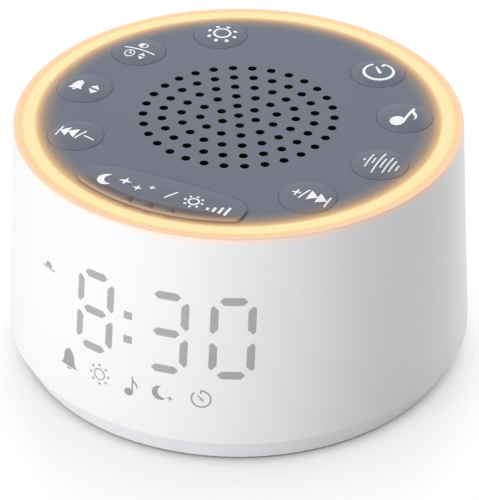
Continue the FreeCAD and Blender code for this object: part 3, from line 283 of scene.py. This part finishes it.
thread_pitch = 0.35
cloth_black = (0.004, 0.004, 0.005)
thread_dark, thread_light = (0.002, 0.002, 0.002), (0.009, 0.009, 0.011)
cloth_finish = Finish("cloth_black_weave", cloth_black, 0.95, Specular_IOR_Level=0.1)
threads = cloth_finish.node("ShaderNodeVectorMath", {"operation": "MULTIPLY"}, _0=cloth_finish.place,
                            _1=(2 * math.pi / (thread_pitch * MM),) * 3)
thread_way = cloth_finish.node("ShaderNodeSeparateXYZ", _0=threads.outputs[0])
weave = cloth_finish.calc("MULTIPLY", cloth_finish.calc("SINE", thread_way.outputs["X"]),
                         cloth_finish.calc("SINE", thread_way.outputs["Y"]))
weave_height = cloth_finish.span(weave, -1, 1)
cloth_finish.put("Base Color", cloth_finish.blend(weave_height, thread_dark, thread_light))
cloth_finish.bumps(weave_height, 0.08)
cloth_finish.on("grille_cloth")

# Round keys: eight caps moulded in the panel's grey with a smoother skin. Each is a shallow
# dome on a plunger, and has a white sign printed on it that gives off a faint painted glow.

cap_grain, cap_grain_depth = 0.3, 0.008
# the caps take the panel's painted rim glow close to the ring as well
key_finish, _ = grey_with_painted_rim_glow("key_grey_matt", cap_grain, cap_grain_depth,
                                   painted_rim_light_start, painted_rim_light_strength)
key_finish.on(*[name for name in nodes if name.endswith("_key")])

ink_white = (0.90, 0.90, 0.91)
painted_ink_glow = 0.2
ink_finish = Finish("sign_white_ink", ink_white, 0.5, Specular_IOR_Level=0.3)
ink_finish.tint(1.5, 0.02)
# painted light: the white ink glows faintly, with no lamp behind it
ink_finish.put("Emission Color", (1, 1, 1))
ink_finish.put("Emission Strength", painted_ink_glow)
ink_finish.wear(1.0, 0.42, 0.58)
ink_finish.bumps(ink_finish.noise(0.12, 2), 0.004)


def straight(start, end, width):
    """A straight stroke with square ends."""
    (x0, y0), (x1, y1) = start, end
    length = math.hypot(x1 - x0, y1 - y0)
    across = (-(y1 - y0) / length * width / 2, (x1 - x0) / length * width / 2)
    return [
        (x0 + across[0], y0 + across[1]), (x0 - across[0], y0 - across[1]),
        (x1 - across[0], y1 - across[1]), (x1 + across[0], y1 + across[1]),
    ]


def disc(middle, radius, squash=1.0, lean=0.0, steps=28):
    """A round dot, or an oval when squashed."""
    points = []
    for step in range(steps):
        angle = 2 * math.pi * step / steps
        x, y = radius * math.cos(angle), radius * squash * math.sin(angle)
        points.append((
            middle[0] + x * math.cos(lean) - y * math.sin(lean),
            middle[1] + x * math.sin(lean) + y * math.cos(lean),
        ))
    return points


def hoop(middle, radius, width, first=0.0, last=360.0):
    """A ring, or part of one, as a row of four-sided pieces. Degrees turn left from +X."""
    steps = 48
    inner, outer = radius - width / 2, radius + width / 2
    pieces = []
    for step in range(steps):
        start, end = [
            math.radians(first + (last - first) * edge / steps) for edge in (step, step + 1)
        ]
        corners = ((inner, start), (outer, start), (outer, end), (inner, end))
        pieces.append([
            (middle[0] + reach * math.cos(angle), middle[1] + reach * math.sin(angle))
            for reach, angle in corners
        ])
    return pieces


def crescent(middle, radius, bite, turn):
    """A moon: a disc with a second, smaller disc bitten out of its right side."""
    steps = 24
    reach = radius * 0.86
    gap = radius * bite
    meet = math.acos((radius**2 + gap**2 - reach**2) / (2 * radius * gap))
    inner = math.pi - math.acos((reach**2 + gap**2 - radius**2) / (2 * reach * gap))
    outline = []
    for step in range(steps + 1):
        angle = meet + (2 * math.pi - 2 * meet) * step / steps
        outline.append((radius * math.cos(angle), radius * math.sin(angle)))
    for step in range(1, steps):
        angle = -inner - (2 * math.pi - 2 * inner) * step / steps
        outline.append((gap + reach * math.cos(angle), reach * math.sin(angle)))
    turned = []
    for x, y in outline:
        turned.append((
            middle[0] + x * math.cos(turn) - y * math.sin(turn),
            middle[1] + x * math.sin(turn) + y * math.cos(turn),
        ))
    return turned


def star(middle, radius):
    """A star with four slender points."""
    points = []
    for corner in range(8):
        reach = radius if corner % 2 == 0 else radius * 0.32
        angle = math.pi / 4 * corner
        points.append((middle[0] + reach * math.cos(angle), middle[1] + reach * math.sin(angle)))
    return points


def sun(middle, radius, width, ray_radius, ray_size):
    """A ring with eight dots round it."""
    pieces = hoop(middle, radius, width)
    for ray in range(8):
        angle = math.radians(45 * ray)
        centre = (middle[0] + ray_radius * math.cos(angle), middle[1] + ray_radius * math.sin(angle))
        pieces.append(disc(centre, ray_size, steps=12))
    return pieces


def bend(first, pull_out, pull_in, last):
    """Points along a curve that leaves and arrives by way of two pulling points."""
    steps = 12
    points = []
    for step in range(steps + 1):
        share = step / steps
        rest = 1 - share
        weights = (rest**3, 3 * share * rest**2, 3 * share**2 * rest, share**3)
        corners = (first, pull_out, pull_in, last)
        points.append(tuple(
            sum(weight * corner[axis] for weight, corner in zip(weights, corners))
            for axis in (0, 1)
        ))
    return points


def note(foot, height, head, stem):
    """An eighth note: a round head, a stem up its right side and a flag that curls down."""
    x, y = foot
    stem_x = x + head - stem / 2
    top = y + height
    reach, drop = height * 0.31, height * 0.76
    outer = bend((0, 0), (0.1, -0.45), (1.5, -0.45), (0.85, -1))
    inner = bend((0, -0.32), (0.2, -0.6), (1.05, -0.62), (0.85, -1))
    flag = [(stem_x + reach * u, top + drop * v) for u, v in outer + inner[-2::-1]]
    return [disc(foot, head, 0.92, 0.3), straight((stem_x, y), (stem_x, top), stem), flag]


def drop_shape(thin_end, thick_end, thin, thick):
    """A hand like a drop: narrow at one end, round and wide at the other."""
    steps = 12
    run = (thick_end[0] - thin_end[0], thick_end[1] - thin_end[1])
    heading = math.atan2(run[1], run[0])
    across = (-math.sin(heading), math.cos(heading))
    points = [
        (thin_end[0] - across[0] * thin, thin_end[1] - across[1] * thin),
    ]
    for step in range(steps + 1):
        angle = heading - math.pi / 2 + math.pi * step / steps
        points.append((thick_end[0] + thick * math.cos(angle), thick_end[1] + thick * math.sin(angle)))
    points.append((thin_end[0] + across[0] * thin, thin_end[1] + across[1] * thin))
    return points


def dial(middle, radius, width):
    """A countdown dial: a circle open at its upper left, a notch at the opening and a hand."""
    x, y = middle
    pieces = hoop(middle, radius, width, 135, 450)
    notch_x = x - width * 0.1
    pieces.append(straight((notch_x, y + radius + width / 2), (notch_x, y + radius * 0.62), width))
    pieces.append(drop_shape((x - radius * 0.37, y + radius * 0.40), (x + radius * 0.16, y - radius * 0.18),
                             width * 0.28, width * 0.66))
    return pieces


def bell(middle, width, height):
    """A bell: a dome that flares to its lip, and a small clapper under it."""
    x, y = middle
    half = width / 2
    right = [
        (0.10, 0.50), (0.15, 0.45), (0.34, 0.41), (0.52, 0.29), (0.62, 0.15), (0.66, -0.03),
        (0.73, -0.18), (0.86, -0.28), (1.0, -0.33), (1.0, -0.36),
    ]
    outline = [(x + half * u, y + height * v) for u, v in right]
    outline += [(x - half * u, y + height * v) for u, v in reversed(right)]
    clapper = [(x + half * 0.30 * math.cos(a), y - height * 0.41 + height * 0.09 * math.sin(a))
               for a in (math.pi + math.pi * step / 8 for step in range(9))]
    return [outline, clapper]


def wedge(tip, base_x, half_height):
    """A triangle that points along the row."""
    return [tip, (base_x, tip[1] + half_height), (base_x, tip[1] - half_height)]


def up_and_down(middle, half_width, height, gap):
    """Two small triangles, one above the other, that point up and down."""
    x, y = middle
    up = [(x - half_width, y + gap), (x + half_width, y + gap), (x, y + gap + height)]
    down = [(x - half_width, y - gap), (x, y - gap - height), (x + half_width, y - gap)]
    return [up, down]


def half_filled(middle, radius, width):
    """A circle whose left half is filled."""
    left = [
        (middle[0] + radius * math.cos(angle), middle[1] + radius * math.sin(angle))
        for angle in (math.pi / 2 + math.pi * step / 16 for step in range(17))
    ]
    return [*hoop(middle, radius, width), left]


def clock(middle, radius, width):
    """A small clock face with two hands."""
    x, y = middle
    return [
        *hoop(middle, radius, width),
        straight((x, y - width / 2), (x, y + radius * 0.66), width),
        straight((x - width / 2, y), (x + radius * 0.55, y), width),
    ]


film_lift = 0.03
film_sink = 0.05
weld_distance = 0.002
sliver_size = 0.004
facet_size = 0.8


def lay_sign(name, pieces, place, body, finish):
    """Lays flat outlines on a surface as a thin film with an edge, cut into facets that follow
    its curve. place(x, y, height) gives a point at a height over the surface. All in mm."""
    mesh = bmesh.new()
    for piece in pieces:
        mesh.faces.new([mesh.verts.new((x, y, 0)) for x, y in piece])
    bmesh.ops.remove_doubles(mesh, verts=mesh.verts, dist=weld_distance)
    bmesh.ops.recalc_face_normals(mesh, faces=mesh.faces)
    if sum(face.normal.z * face.calc_area() for face in mesh.faces) < 0:
        bmesh.ops.reverse_faces(mesh, faces=mesh.faces)
    bmesh.ops.triangulate(mesh, faces=mesh.faces)
    for axis, across in ((0, (1, 0, 0)), (1, (0, 1, 0))):
        low = min(vert.co[axis] for vert in mesh.verts)
        high = max(vert.co[axis] for vert in mesh.verts)
        for line in range(1, int((high - low) / facet_size) + 1):
            point = Vector(across) * (low + line * facet_size)
            bmesh.ops.bisect_plane(mesh, geom=[*mesh.verts, *mesh.edges, *mesh.faces],
                                   plane_co=point, plane_no=across)
    bmesh.ops.dissolve_degenerate(mesh, dist=sliver_size, edges=mesh.edges)
    bmesh.ops.triangulate(mesh, faces=mesh.faces)
    for face in mesh.faces:
        if face.normal.z < 0:
            face.normal_flip()
    raised = bmesh.ops.extrude_face_region(mesh, geom=list(mesh.faces))["geom"]
    tops = {item for item in raised if isinstance(item, bmesh.types.BMVert)}
    for vert in mesh.verts:
        height = film_lift if vert in tops else -film_sink
        vert.co = place(vert.co.x, vert.co.y, height) * MM
    bmesh.ops.recalc_face_normals(mesh, faces=mesh.faces)
    data = bpy.data.meshes.new(name)
    mesh.to_mesh(data)
    mesh.free()
    sign = bpy.data.objects.new(name, data)
    bpy.context.scene.collection.objects.link(sign)
    data.materials.append(finish.material)
    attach(sign, body)
    return sign


def surface_of(name):
    """The node's own surface, to set a sign down on."""
    return BVHTree.FromObject(nodes[name], bpy.context.evaluated_depsgraph_get())


def on_cap(name):
    """Places the points of a sign on a cap's dome, measured from the cap's middle."""
    low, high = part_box(name)
    middle = (low + high) / 2
    dome = surface_of(name)
    well_above = high.z + 5 * MM

    def place(x, y, height):
        start = Vector((middle.x + x * MM, middle.y + y * MM, well_above))
        hit, normal, _, _ = dome.ray_cast(start, Vector((0, 0, -1)))
        return (hit + normal * height * MM) / MM

    return place


stroke = 0.40
mark = 1.85
key_signs = {
    "next_key": [
        straight((-4.05, 0), (-2.05, 0), stroke), straight((-3.05, -1.2), (-3.05, 1.2), stroke),
        straight((-1.75, -1.9), (-0.65, 1.9), stroke),
        wedge((2.1, 0), -0.05, mark), wedge((4.2, 0), 2.05, mark),
        straight((4.4, -mark - 0.1), (4.4, mark + 0.1), stroke),
    ],
    "previous_key": [
        straight((-4.4, -mark - 0.1), (-4.4, mark + 0.1), stroke),
        wedge((-4.25, 0), -2.1, mark), wedge((-2.15, 0), 0.0, mark),
        straight((0.5, -1.9), (1.6, 1.9), stroke), straight((1.9, 0), (4.4, 0), stroke),
    ],
    "melody_key": [
        straight((-4.0 + 1.13 * bar, -length / 2), (-4.0 + 1.13 * bar, length / 2), stroke * 0.88)
        for bar, length in enumerate((1.0, 5.4, 2.2, 8.2, 3.8, 6.6, 4.7, 2.2))
    ],
    "music_key": note((-1.1, -2.4), 6.7, 1.75, 0.64),
    "timer_key": dial((-0.2, 0.2), 3.5, 0.66),
    "light_key": sun((0.1, 0.1), 1.95, 0.50, 3.3, 0.50),
    "alarm_key": [*bell((-2.0, 0), 3.6, 4.2), *up_and_down((2.3, 0), 1.15, 1.5, 0.35)],
    "dimmer_key": [
        *half_filled((-0.1, 2.2), 1.05, 0.3), straight((-4.1, 0.1), (3.9, 0.1), stroke),
        *clock((-1.6, -2.1), 1.2, 0.3), *up_and_down((1.6, -2.1), 0.8, 1.0, 0.25),
    ],
}
key_sign_offset = (0.6, -0.6)
for key, pieces in key_signs.items():
    shifted = [[(x + key_sign_offset[0], y + key_sign_offset[1]) for x, y in piece] for piece in pieces]
    sign = lay_sign(key.replace("_key", "_sign"), shifted, on_cap(key), key, ink_finish)

# Snooze bar: one wide cap of the same grey. Its front edge takes a stronger painted glow from the
# ring, and the crests of its three ribs are painted a dark brown-grey, painted shade with a faint glow.
# The sign shows a moon and stars for sleeping on, a slash, a sun for the light and the steps of its
# brightness.

bar_painted_light_start = 44.0
bar_painted_light_strength = 0.3
rib_painted_shade_and_glow = display_colour(116, 107, 107)
rib_inner_radius = 42.2
rib_clear, rib_full = top_height + 0.55, top_height + 0.9

bar_finish, bar_colour = grey_with_painted_rim_glow("bar_grey_matt", cap_grain, cap_grain_depth,
                                            bar_painted_light_start, bar_painted_light_strength)
# painted shade: the raised rib crests take a dark brown-grey in place of the painted glow
raised = bar_finish.span(bar_finish.height(), rib_clear, rib_full)
outermost = bar_finish.span(bar_finish.radius(), rib_inner_radius, rib_inner_radius + 0.8)
on_rib = bar_finish.calc("MULTIPLY", raised, outermost)
bar_finish.put("Base Color", bar_finish.blend(on_rib, bar_colour, rib_painted_shade_and_glow))
bar_finish.on("snooze_bar")

snooze_sign = [
    crescent((-13.2, -0.4), 2.1, 0.62, 0.35), star((-8.9, 0.5), 1.6), star((-5.2, -0.9), 1.2),
    star((-2.2, 0.5), 0.9),
    straight((1.9, -1.9), (3.7, 1.4), stroke),
    *sun((8.4, -0.3), 1.15, 0.42, 2.05, 0.33),
    *[straight((12.3 + 1.4 * bar, -1.8), (12.3 + 1.4 * bar, -0.9 + 0.8 * bar), 0.6)
      for bar in range(4)],
]
sign = lay_sign("snooze_sign", snooze_sign, on_cap("snooze_bar"), "snooze_bar", ink_finish)

# Clock display: the digits and small signs shine through the white wall from the light wells
# behind it. By day they read as flush grey marks, a little mottled by the plastic.

digit_middle_drop = 24.96
half_digit_height = 9.45
half_digit_width = 4.21
level_length = 6.35
upright_length = 7.15
segment_width = 1.95
upright_width = segment_width * 0.94
digit_lean = 0.038
icon_drop = 40.95
front_radius = 54.0
well_outside = 200 * MM


def display_finish(name, grey):
    """The grey that a sign of the display shows through the white plastic."""
    finish = Finish(name, display_colour(grey, grey, grey + 2), 0.38, Specular_IOR_Level=0.42)
    finish.tint(4, 0.09)
    finish.wear(4, 0.34, 0.42)
    finish.bumps(finish.noise(0.35, 2), 0.004)
    return finish


digit_finish = display_finish("display_digit_grey", 168)
icon_finish = display_finish("display_icon_grey", 156)
shell_surface = surface_of("housing_shell")


def on_front(x, y, height):
    """Places a point on the front wall: x along the arc from the middle line, y below the top."""
    angle = x / front_radius
    outward = Vector((math.sin(angle), -math.cos(angle), 0))
    start = outward * well_outside
    start.z = (top_height + y) * MM
    hit, normal, _, _ = shell_surface.ray_cast(start, -outward)
    return (hit + normal * height * MM) / MM


def level_segment(middle):
    """A segment that lies flat, pointed at both ends."""
    x, y = middle
    half, side = level_length / 2, segment_width / 2
    return [(x - half, y), (x - half + side, y + side), (x + half - side, y + side),
            (x + half, y), (x + half - side, y - side), (x - half + side, y - side)]


def upright_segment(middle, outer):
    """A segment that stands, whose points lie towards its outer side: -1 is left, 1 is right."""
    x, y = middle
    half, side = upright_length / 2, upright_width / 2
    tip = outer * side * 0.3
    near, far = side - abs(tip), side + abs(tip)
    outside, inside = x + outer * side, x - outer * side
    return [(x + tip, y + half), (inside, y + half - far), (inside, y - half + far),
            (x + tip, y - half), (outside, y - half + near), (outside, y + half - near)]


def slanted(pieces, lean, foot):
    """Leans a sign to the right by a share of its height above the foot."""
    return [[(x + (y - foot) * lean, y) for x, y in piece] for piece in pieces]


def digit(middle_x, dark):
    """Seven pointed segments, of which the dark ones are drawn: t, m and b lie flat at the
    top, middle and bottom; ul, ur, ll and lr stand at the upper and lower left and right."""
    y = -digit_middle_drop
    left, right = middle_x - half_digit_width, middle_x + half_digit_width
    upper, lower = y + half_digit_height / 2, y - half_digit_height / 2
    segments = {
        "t": level_segment((middle_x, y + half_digit_height)),
        "m": level_segment((middle_x, y)),
        "b": level_segment((middle_x, y - half_digit_height)),
        "ul": upright_segment((left, upper), -1),
        "ur": upright_segment((right, upper), 1),
        "ll": upright_segment((left, lower), -1),
        "lr": upright_segment((right, lower), 1),
    }
    return slanted([segments[name] for name in dark.split()], digit_lean, y)


def box_at(left, right, low, high):
    """An upright rectangle."""
    return [(left, low), (right, low), (right, high), (left, high)]


def sunrise(middle, radius, width):
    """Half a sun that rises over a level line."""
    x, y = middle
    half_disc = [
        (x + radius * math.cos(angle), y + width + radius * math.sin(angle))
        for angle in (math.pi * step / 14 for step in range(15))
    ]
    return [half_disc, straight((x - radius * 1.8, y), (x + radius * 1.8, y), width)]


clock_digits = {
    "digit_hour": digit(-9.65, "t ul ur m ll lr b"),
    "digit_ten_minutes": digit(8.62, "t ur m lr b"),
    "digit_minutes": digit(23.65, "t ul ur ll lr b"),
    "colon": [box_at(-1.75, 0.35, -23.8, -21.9), box_at(-1.75, 0.35, -30.0, -28.1)],
}
clock_icons = {
    "morning_lit": sunrise((-25.2, -20.7), 1.25, 0.36),
    "alarm_lit": bell((-17.35, -icon_drop), 5.1, 5.6),
    "light_lit": sun((-8.1, -icon_drop), 1.38, 0.32, 2.43, 0.34),
    "music_lit": note((-0.35, -42.75), 4.2, 1.08, 0.34),
    "sleep_lit": [crescent((7.2, -icon_drop), 1.85, 0.62, 0.35), star((9.6, -42.0), 0.8)],
    "timer_lit": dial((16.67, -icon_drop), 2.15, 0.38),
}
for signs, finish in ((clock_digits, digit_finish), (clock_icons, icon_finish)):
    for name, pieces in signs.items():
        sign = lay_sign(name, pieces, on_front, "root", finish)

# Feet and speaker surround: black rubber. The feet are pads glued into recesses in the
# underside, and the surround is a thin roll glued between the cone and the basket.

rubber_finish = Finish("rubber_black", (0.018, 0.018, 0.019), 0.8, Specular_IOR_Level=0.3)
rubber_finish.tint(3, 0.2)
rubber_finish.bumps(rubber_finish.noise(0.3, 4), 0.03)
rubber_finish.on("foot_front_left", "foot_front_right", "foot_rear_left", "foot_rear_right",
                 "speaker_surround")

# Battery door: a round cap of the base's white ABS with a coin slot. Two lugs turn under the
# base to lock it.

base_finish.on("battery_door")

# Steel pieces: the pressed speaker basket, the screws, the coin cell with its spring contacts
# and the folded shell of the power inlet, all with a bright zinc or nickel skin.

steel_finish = Finish("steel_zinc", (0.55, 0.56, 0.58), 0.35, Metallic=1.0)
steel_finish.tint(2, 0.1)
steel_finish.wear(1.5, 0.25, 0.5)
steel_finish.on("speaker_basket", "speaker_screws", "board_screws", "base_screws", "coin_cell",
                "cell_contact_negative", "cell_contact_positive", "usb_c_port")

# Speaker magnet: sintered ferrite, dark grey and a little rough, glued under the basket with
# its pole piece in the middle.

magnet_finish = Finish("ferrite_dark", (0.05, 0.05, 0.055), 0.6)
magnet_finish.tint(2, 0.2)
magnet_finish.bumps(magnet_finish.noise(0.4, 5), 0.03)
magnet_finish.on("speaker_magnet")

# Voice coil: enamelled copper wire wound on the cone's tube, one turn above the other, and
# varnished so that it keeps its shape in the magnet's gap.

wire_pitch = 0.2094
copper_finish = Finish("copper_wound", (0.72, 0.32, 0.16), 0.35, Metallic=1.0)
copper_finish.tint(1, 0.1)
round_turn = copper_finish.calc("MULTIPLY", copper_finish.height(), 2 * math.pi / wire_pitch)
turns = copper_finish.calc("SINE", round_turn)
copper_finish.bumps(copper_finish.span(turns, -1, 1), 0.05)
copper_finish.on("voice_coil")

# Speaker cone and dust cap: pressed black paper pulp with a fibrous skin, the cap glued over
# the hole in the cone's middle.

paper_finish = Finish("cone_paper", (0.035, 0.034, 0.033), 0.9)
paper_finish.tint(2.5, 0.3)
paper_finish.bumps(paper_finish.noise(0.5, 6), 0.06)
paper_finish.on("speaker_cone", "dust_cap")

# Circuit boards: green lacquer over glass fibre. The key board is screwed to the panel's
# bosses and the main board to the base, and the display's board backs its reflector.

board_finish = Finish("board_green", (0.015, 0.11, 0.045), 0.4)
board_finish.tint(3, 0.25)
board_finish.bumps(board_finish.noise(0.8, 4), 0.02)
board_finish.on("key_board", "main_board", "display_board")

# Black plastic: the display's reflector, the chip, the inlet's tongue, the sleeves of the
# speaker's leads and the cases of the nine switches soldered to the key board.

case_finish = Finish("case_black", (0.02, 0.02, 0.022), 0.5)
case_finish.tint(2, 0.2)
case_finish.bumps(case_finish.noise(0.2, 3), 0.01)
switches = [name for name in nodes if name.endswith("_switch")]
case_finish.on("display_reflector", "sound_chip", "usb_c_tongue", "speaker_leads", *switches)

# Plungers and ring lamps: small white mouldings. A plunger stands on each switch under its
# cap, and the lamps are soldered round the key board's rim.

button_finish = Finish("plunger_white", (0.62, 0.61, 0.58), 0.45)
button_finish.tint(1, 0.05)
button_finish.bumps(button_finish.noise(0.2, 3), 0.01)
button_finish.on("ring_lamps", *[name for name in nodes if name.endswith("_plunger")])

# Ribbons: flat white cables of parallel strands. One comes from the display and one from the
# key board, and both end on the main board.

strand_pitch = 1.0
ribbon_finish = Finish("ribbon_white", (0.68, 0.68, 0.66), 0.5)
ribbon_finish.tint(2, 0.05)
across_ribbon = ribbon_finish.node("ShaderNodeSeparateXYZ", _0=ribbon_finish.place).outputs["X"]
round_strand = ribbon_finish.calc("MULTIPLY", across_ribbon, 2 * math.pi / (strand_pitch * MM))
strand = ribbon_finish.calc("SINE", round_strand)
ribbon_finish.bumps(ribbon_finish.span(strand, -1, 1), 0.1)
ribbon_finish.on("display_ribbon", "key_ribbon")

# Floor: a pale table top. The camera sees it as white where it lies open, and it keeps the
# shadow of the lamps. Near the object that white is dimmed by ambient occlusion, a painted contact shadow
# that gives the dark line where the object stands on it.

floor_half_side = 3.0
floor_for_light = (0.94, 0.94, 0.94)
floor_seen = (0.38, 0.38, 0.38)
shade_reach = 0.03
touching, near, wide_open = 0.18, 0.42, 1.0
near_brightness, open_brightness = 0.56, 0.22

floor_data = bpy.data.meshes.new("floor")
floor_mesh = bmesh.new()
bmesh.ops.create_grid(floor_mesh, x_segments=1, y_segments=1, size=floor_half_side)
floor_mesh.to_mesh(floor_data)
floor_mesh.free()
floor = bpy.data.objects.new("floor", floor_data)
bpy.context.scene.collection.objects.link(floor)

floor_finish = Finish("floor_pale", floor_for_light, 0.8, Specular_IOR_Level=0.1)
rays = floor_finish.node("ShaderNodeLightPath").outputs
mirrored = floor_finish.calc("MAXIMUM", rays["Is Glossy Ray"], rays["Is Transmission Ray"])
seen = floor_finish.calc("MAXIMUM", rays["Is Camera Ray"], mirrored)
floor_finish.put("Base Color", floor_finish.blend(seen, floor_for_light, floor_seen))
# painted shadow: the glow the camera sees fades where the object hides the floor
shade = floor_finish.node("ShaderNodeAmbientOcclusion", {"samples": 8}, Distance=shade_reach)
openness = shade.outputs["AO"]
near_floor = floor_finish.span(openness, touching, near, 0, near_brightness)
open_floor = floor_finish.span(openness, near, wide_open, 0, open_brightness)
glow_with_painted_contact_shadow = floor_finish.calc("ADD", near_floor, open_floor)
floor_finish.put("Emission Color", (1, 1, 1))
floor_finish.put("Emission Strength", floor_finish.calc("MULTIPLY", seen, glow_with_painted_contact_shadow))
floor_data.materials.append(floor_finish.material)

# Backdrop: an even pale room that lights the object softly from all sides. The camera and
# the object's mirrored surfaces see it as white.

room_light = 0.23
room_seen = 1.0

world = bpy.data.worlds.new("studio")
bpy.context.scene.world = world
world.use_nodes = True
world_nodes = world.node_tree.nodes
world_links = world.node_tree.links
background = world_nodes["Background"]
background.inputs["Color"].default_value = (1, 1, 1, 1)
rays = world_nodes.new("ShaderNodeLightPath").outputs
world_strength = world_nodes.new("ShaderNodeMapRange")
world_strength.inputs["To Min"].default_value = room_light
world_strength.inputs["To Max"].default_value = room_seen
seen = rays["Is Camera Ray"]
for kind in ("Is Glossy Ray", "Is Transmission Ray"):
    either = world_nodes.new("ShaderNodeMath")
    either.operation = "MAXIMUM"
    world_links.new(seen, either.inputs[0])
    world_links.new(rays[kind], either.inputs[1])
    seen = either.outputs[0]
world_links.new(seen, world_strength.inputs["Value"])
world_links.new(world_strength.outputs[0], background.inputs["Strength"])

# Lamps: three square soft boxes a metre away. The first lights the front, the second the right
# side from behind, and the third grazes the top, where it shades the domes without a glare.

lamp_distance = 1.0
object_middle = Vector((0, 0, 0.03))


def direction(azimuth, elevation):
    """The way out from the object. Azimuth 0 is in front, and it turns to +X."""
    turn, rise = math.radians(azimuth), math.radians(elevation)
    return Vector((math.sin(turn) * math.cos(rise), -math.cos(turn) * math.cos(rise), math.sin(rise)))


def soft_lamp(name, azimuth, elevation, size, power):
    """A square soft box that faces the object."""
    light = bpy.data.lights.new(name, "AREA")
    light.shape = "SQUARE"
    light.size = size
    light.energy = power
    lamp = bpy.data.objects.new(name, light)
    bpy.context.scene.collection.objects.link(lamp)
    way_out = direction(azimuth, elevation)
    lamp.location = object_middle + way_out * lamp_distance
    lamp.rotation_mode = "QUATERNION"
    lamp.rotation_quaternion = way_out.to_track_quat("Z", "Y")
    return lamp


soft_lamp("key_lamp", -14, 12, 0.7, 8.2)
soft_lamp("side_lamp", 150, 15, 0.6, 3.0)
rear_lamp = soft_lamp("rear_lamp", 206, 34, 0.6, 7.4)
rear_lamp.visible_glossy = False

# Camera: a long lens at the photograph's angle, a little to the right of the front and about
# a third of the way up to straight above.

camera_azimuth = 26.5
camera_elevation = 33.714
camera_distance = 0.6235
target_aside = 0.0002
target_height = 0.0221
focal_pixels = 2626.0
frame_pixels = 500.0

camera_data = bpy.data.cameras.new("camera")
camera_data.sensor_fit = "AUTO"
camera_data.sensor_width = 36.0
camera_data.lens = focal_pixels / frame_pixels * camera_data.sensor_width
camera_data.clip_start = 0.01
camera_data.clip_end = 20
camera = bpy.data.objects.new("camera", camera_data)
bpy.context.scene.collection.objects.link(camera)
to_camera = direction(camera_azimuth, camera_elevation)
aside = direction(camera_azimuth + 90, 0) * target_aside
camera.location = aside + Vector((0, 0, target_height)) + to_camera * camera_distance
camera.rotation_mode = "QUATERNION"
camera.rotation_quaternion = to_camera.to_track_quat("Z", "Y")
bpy.context.scene.camera = camera

bpy.context.scene.view_settings.view_transform = "Standard"
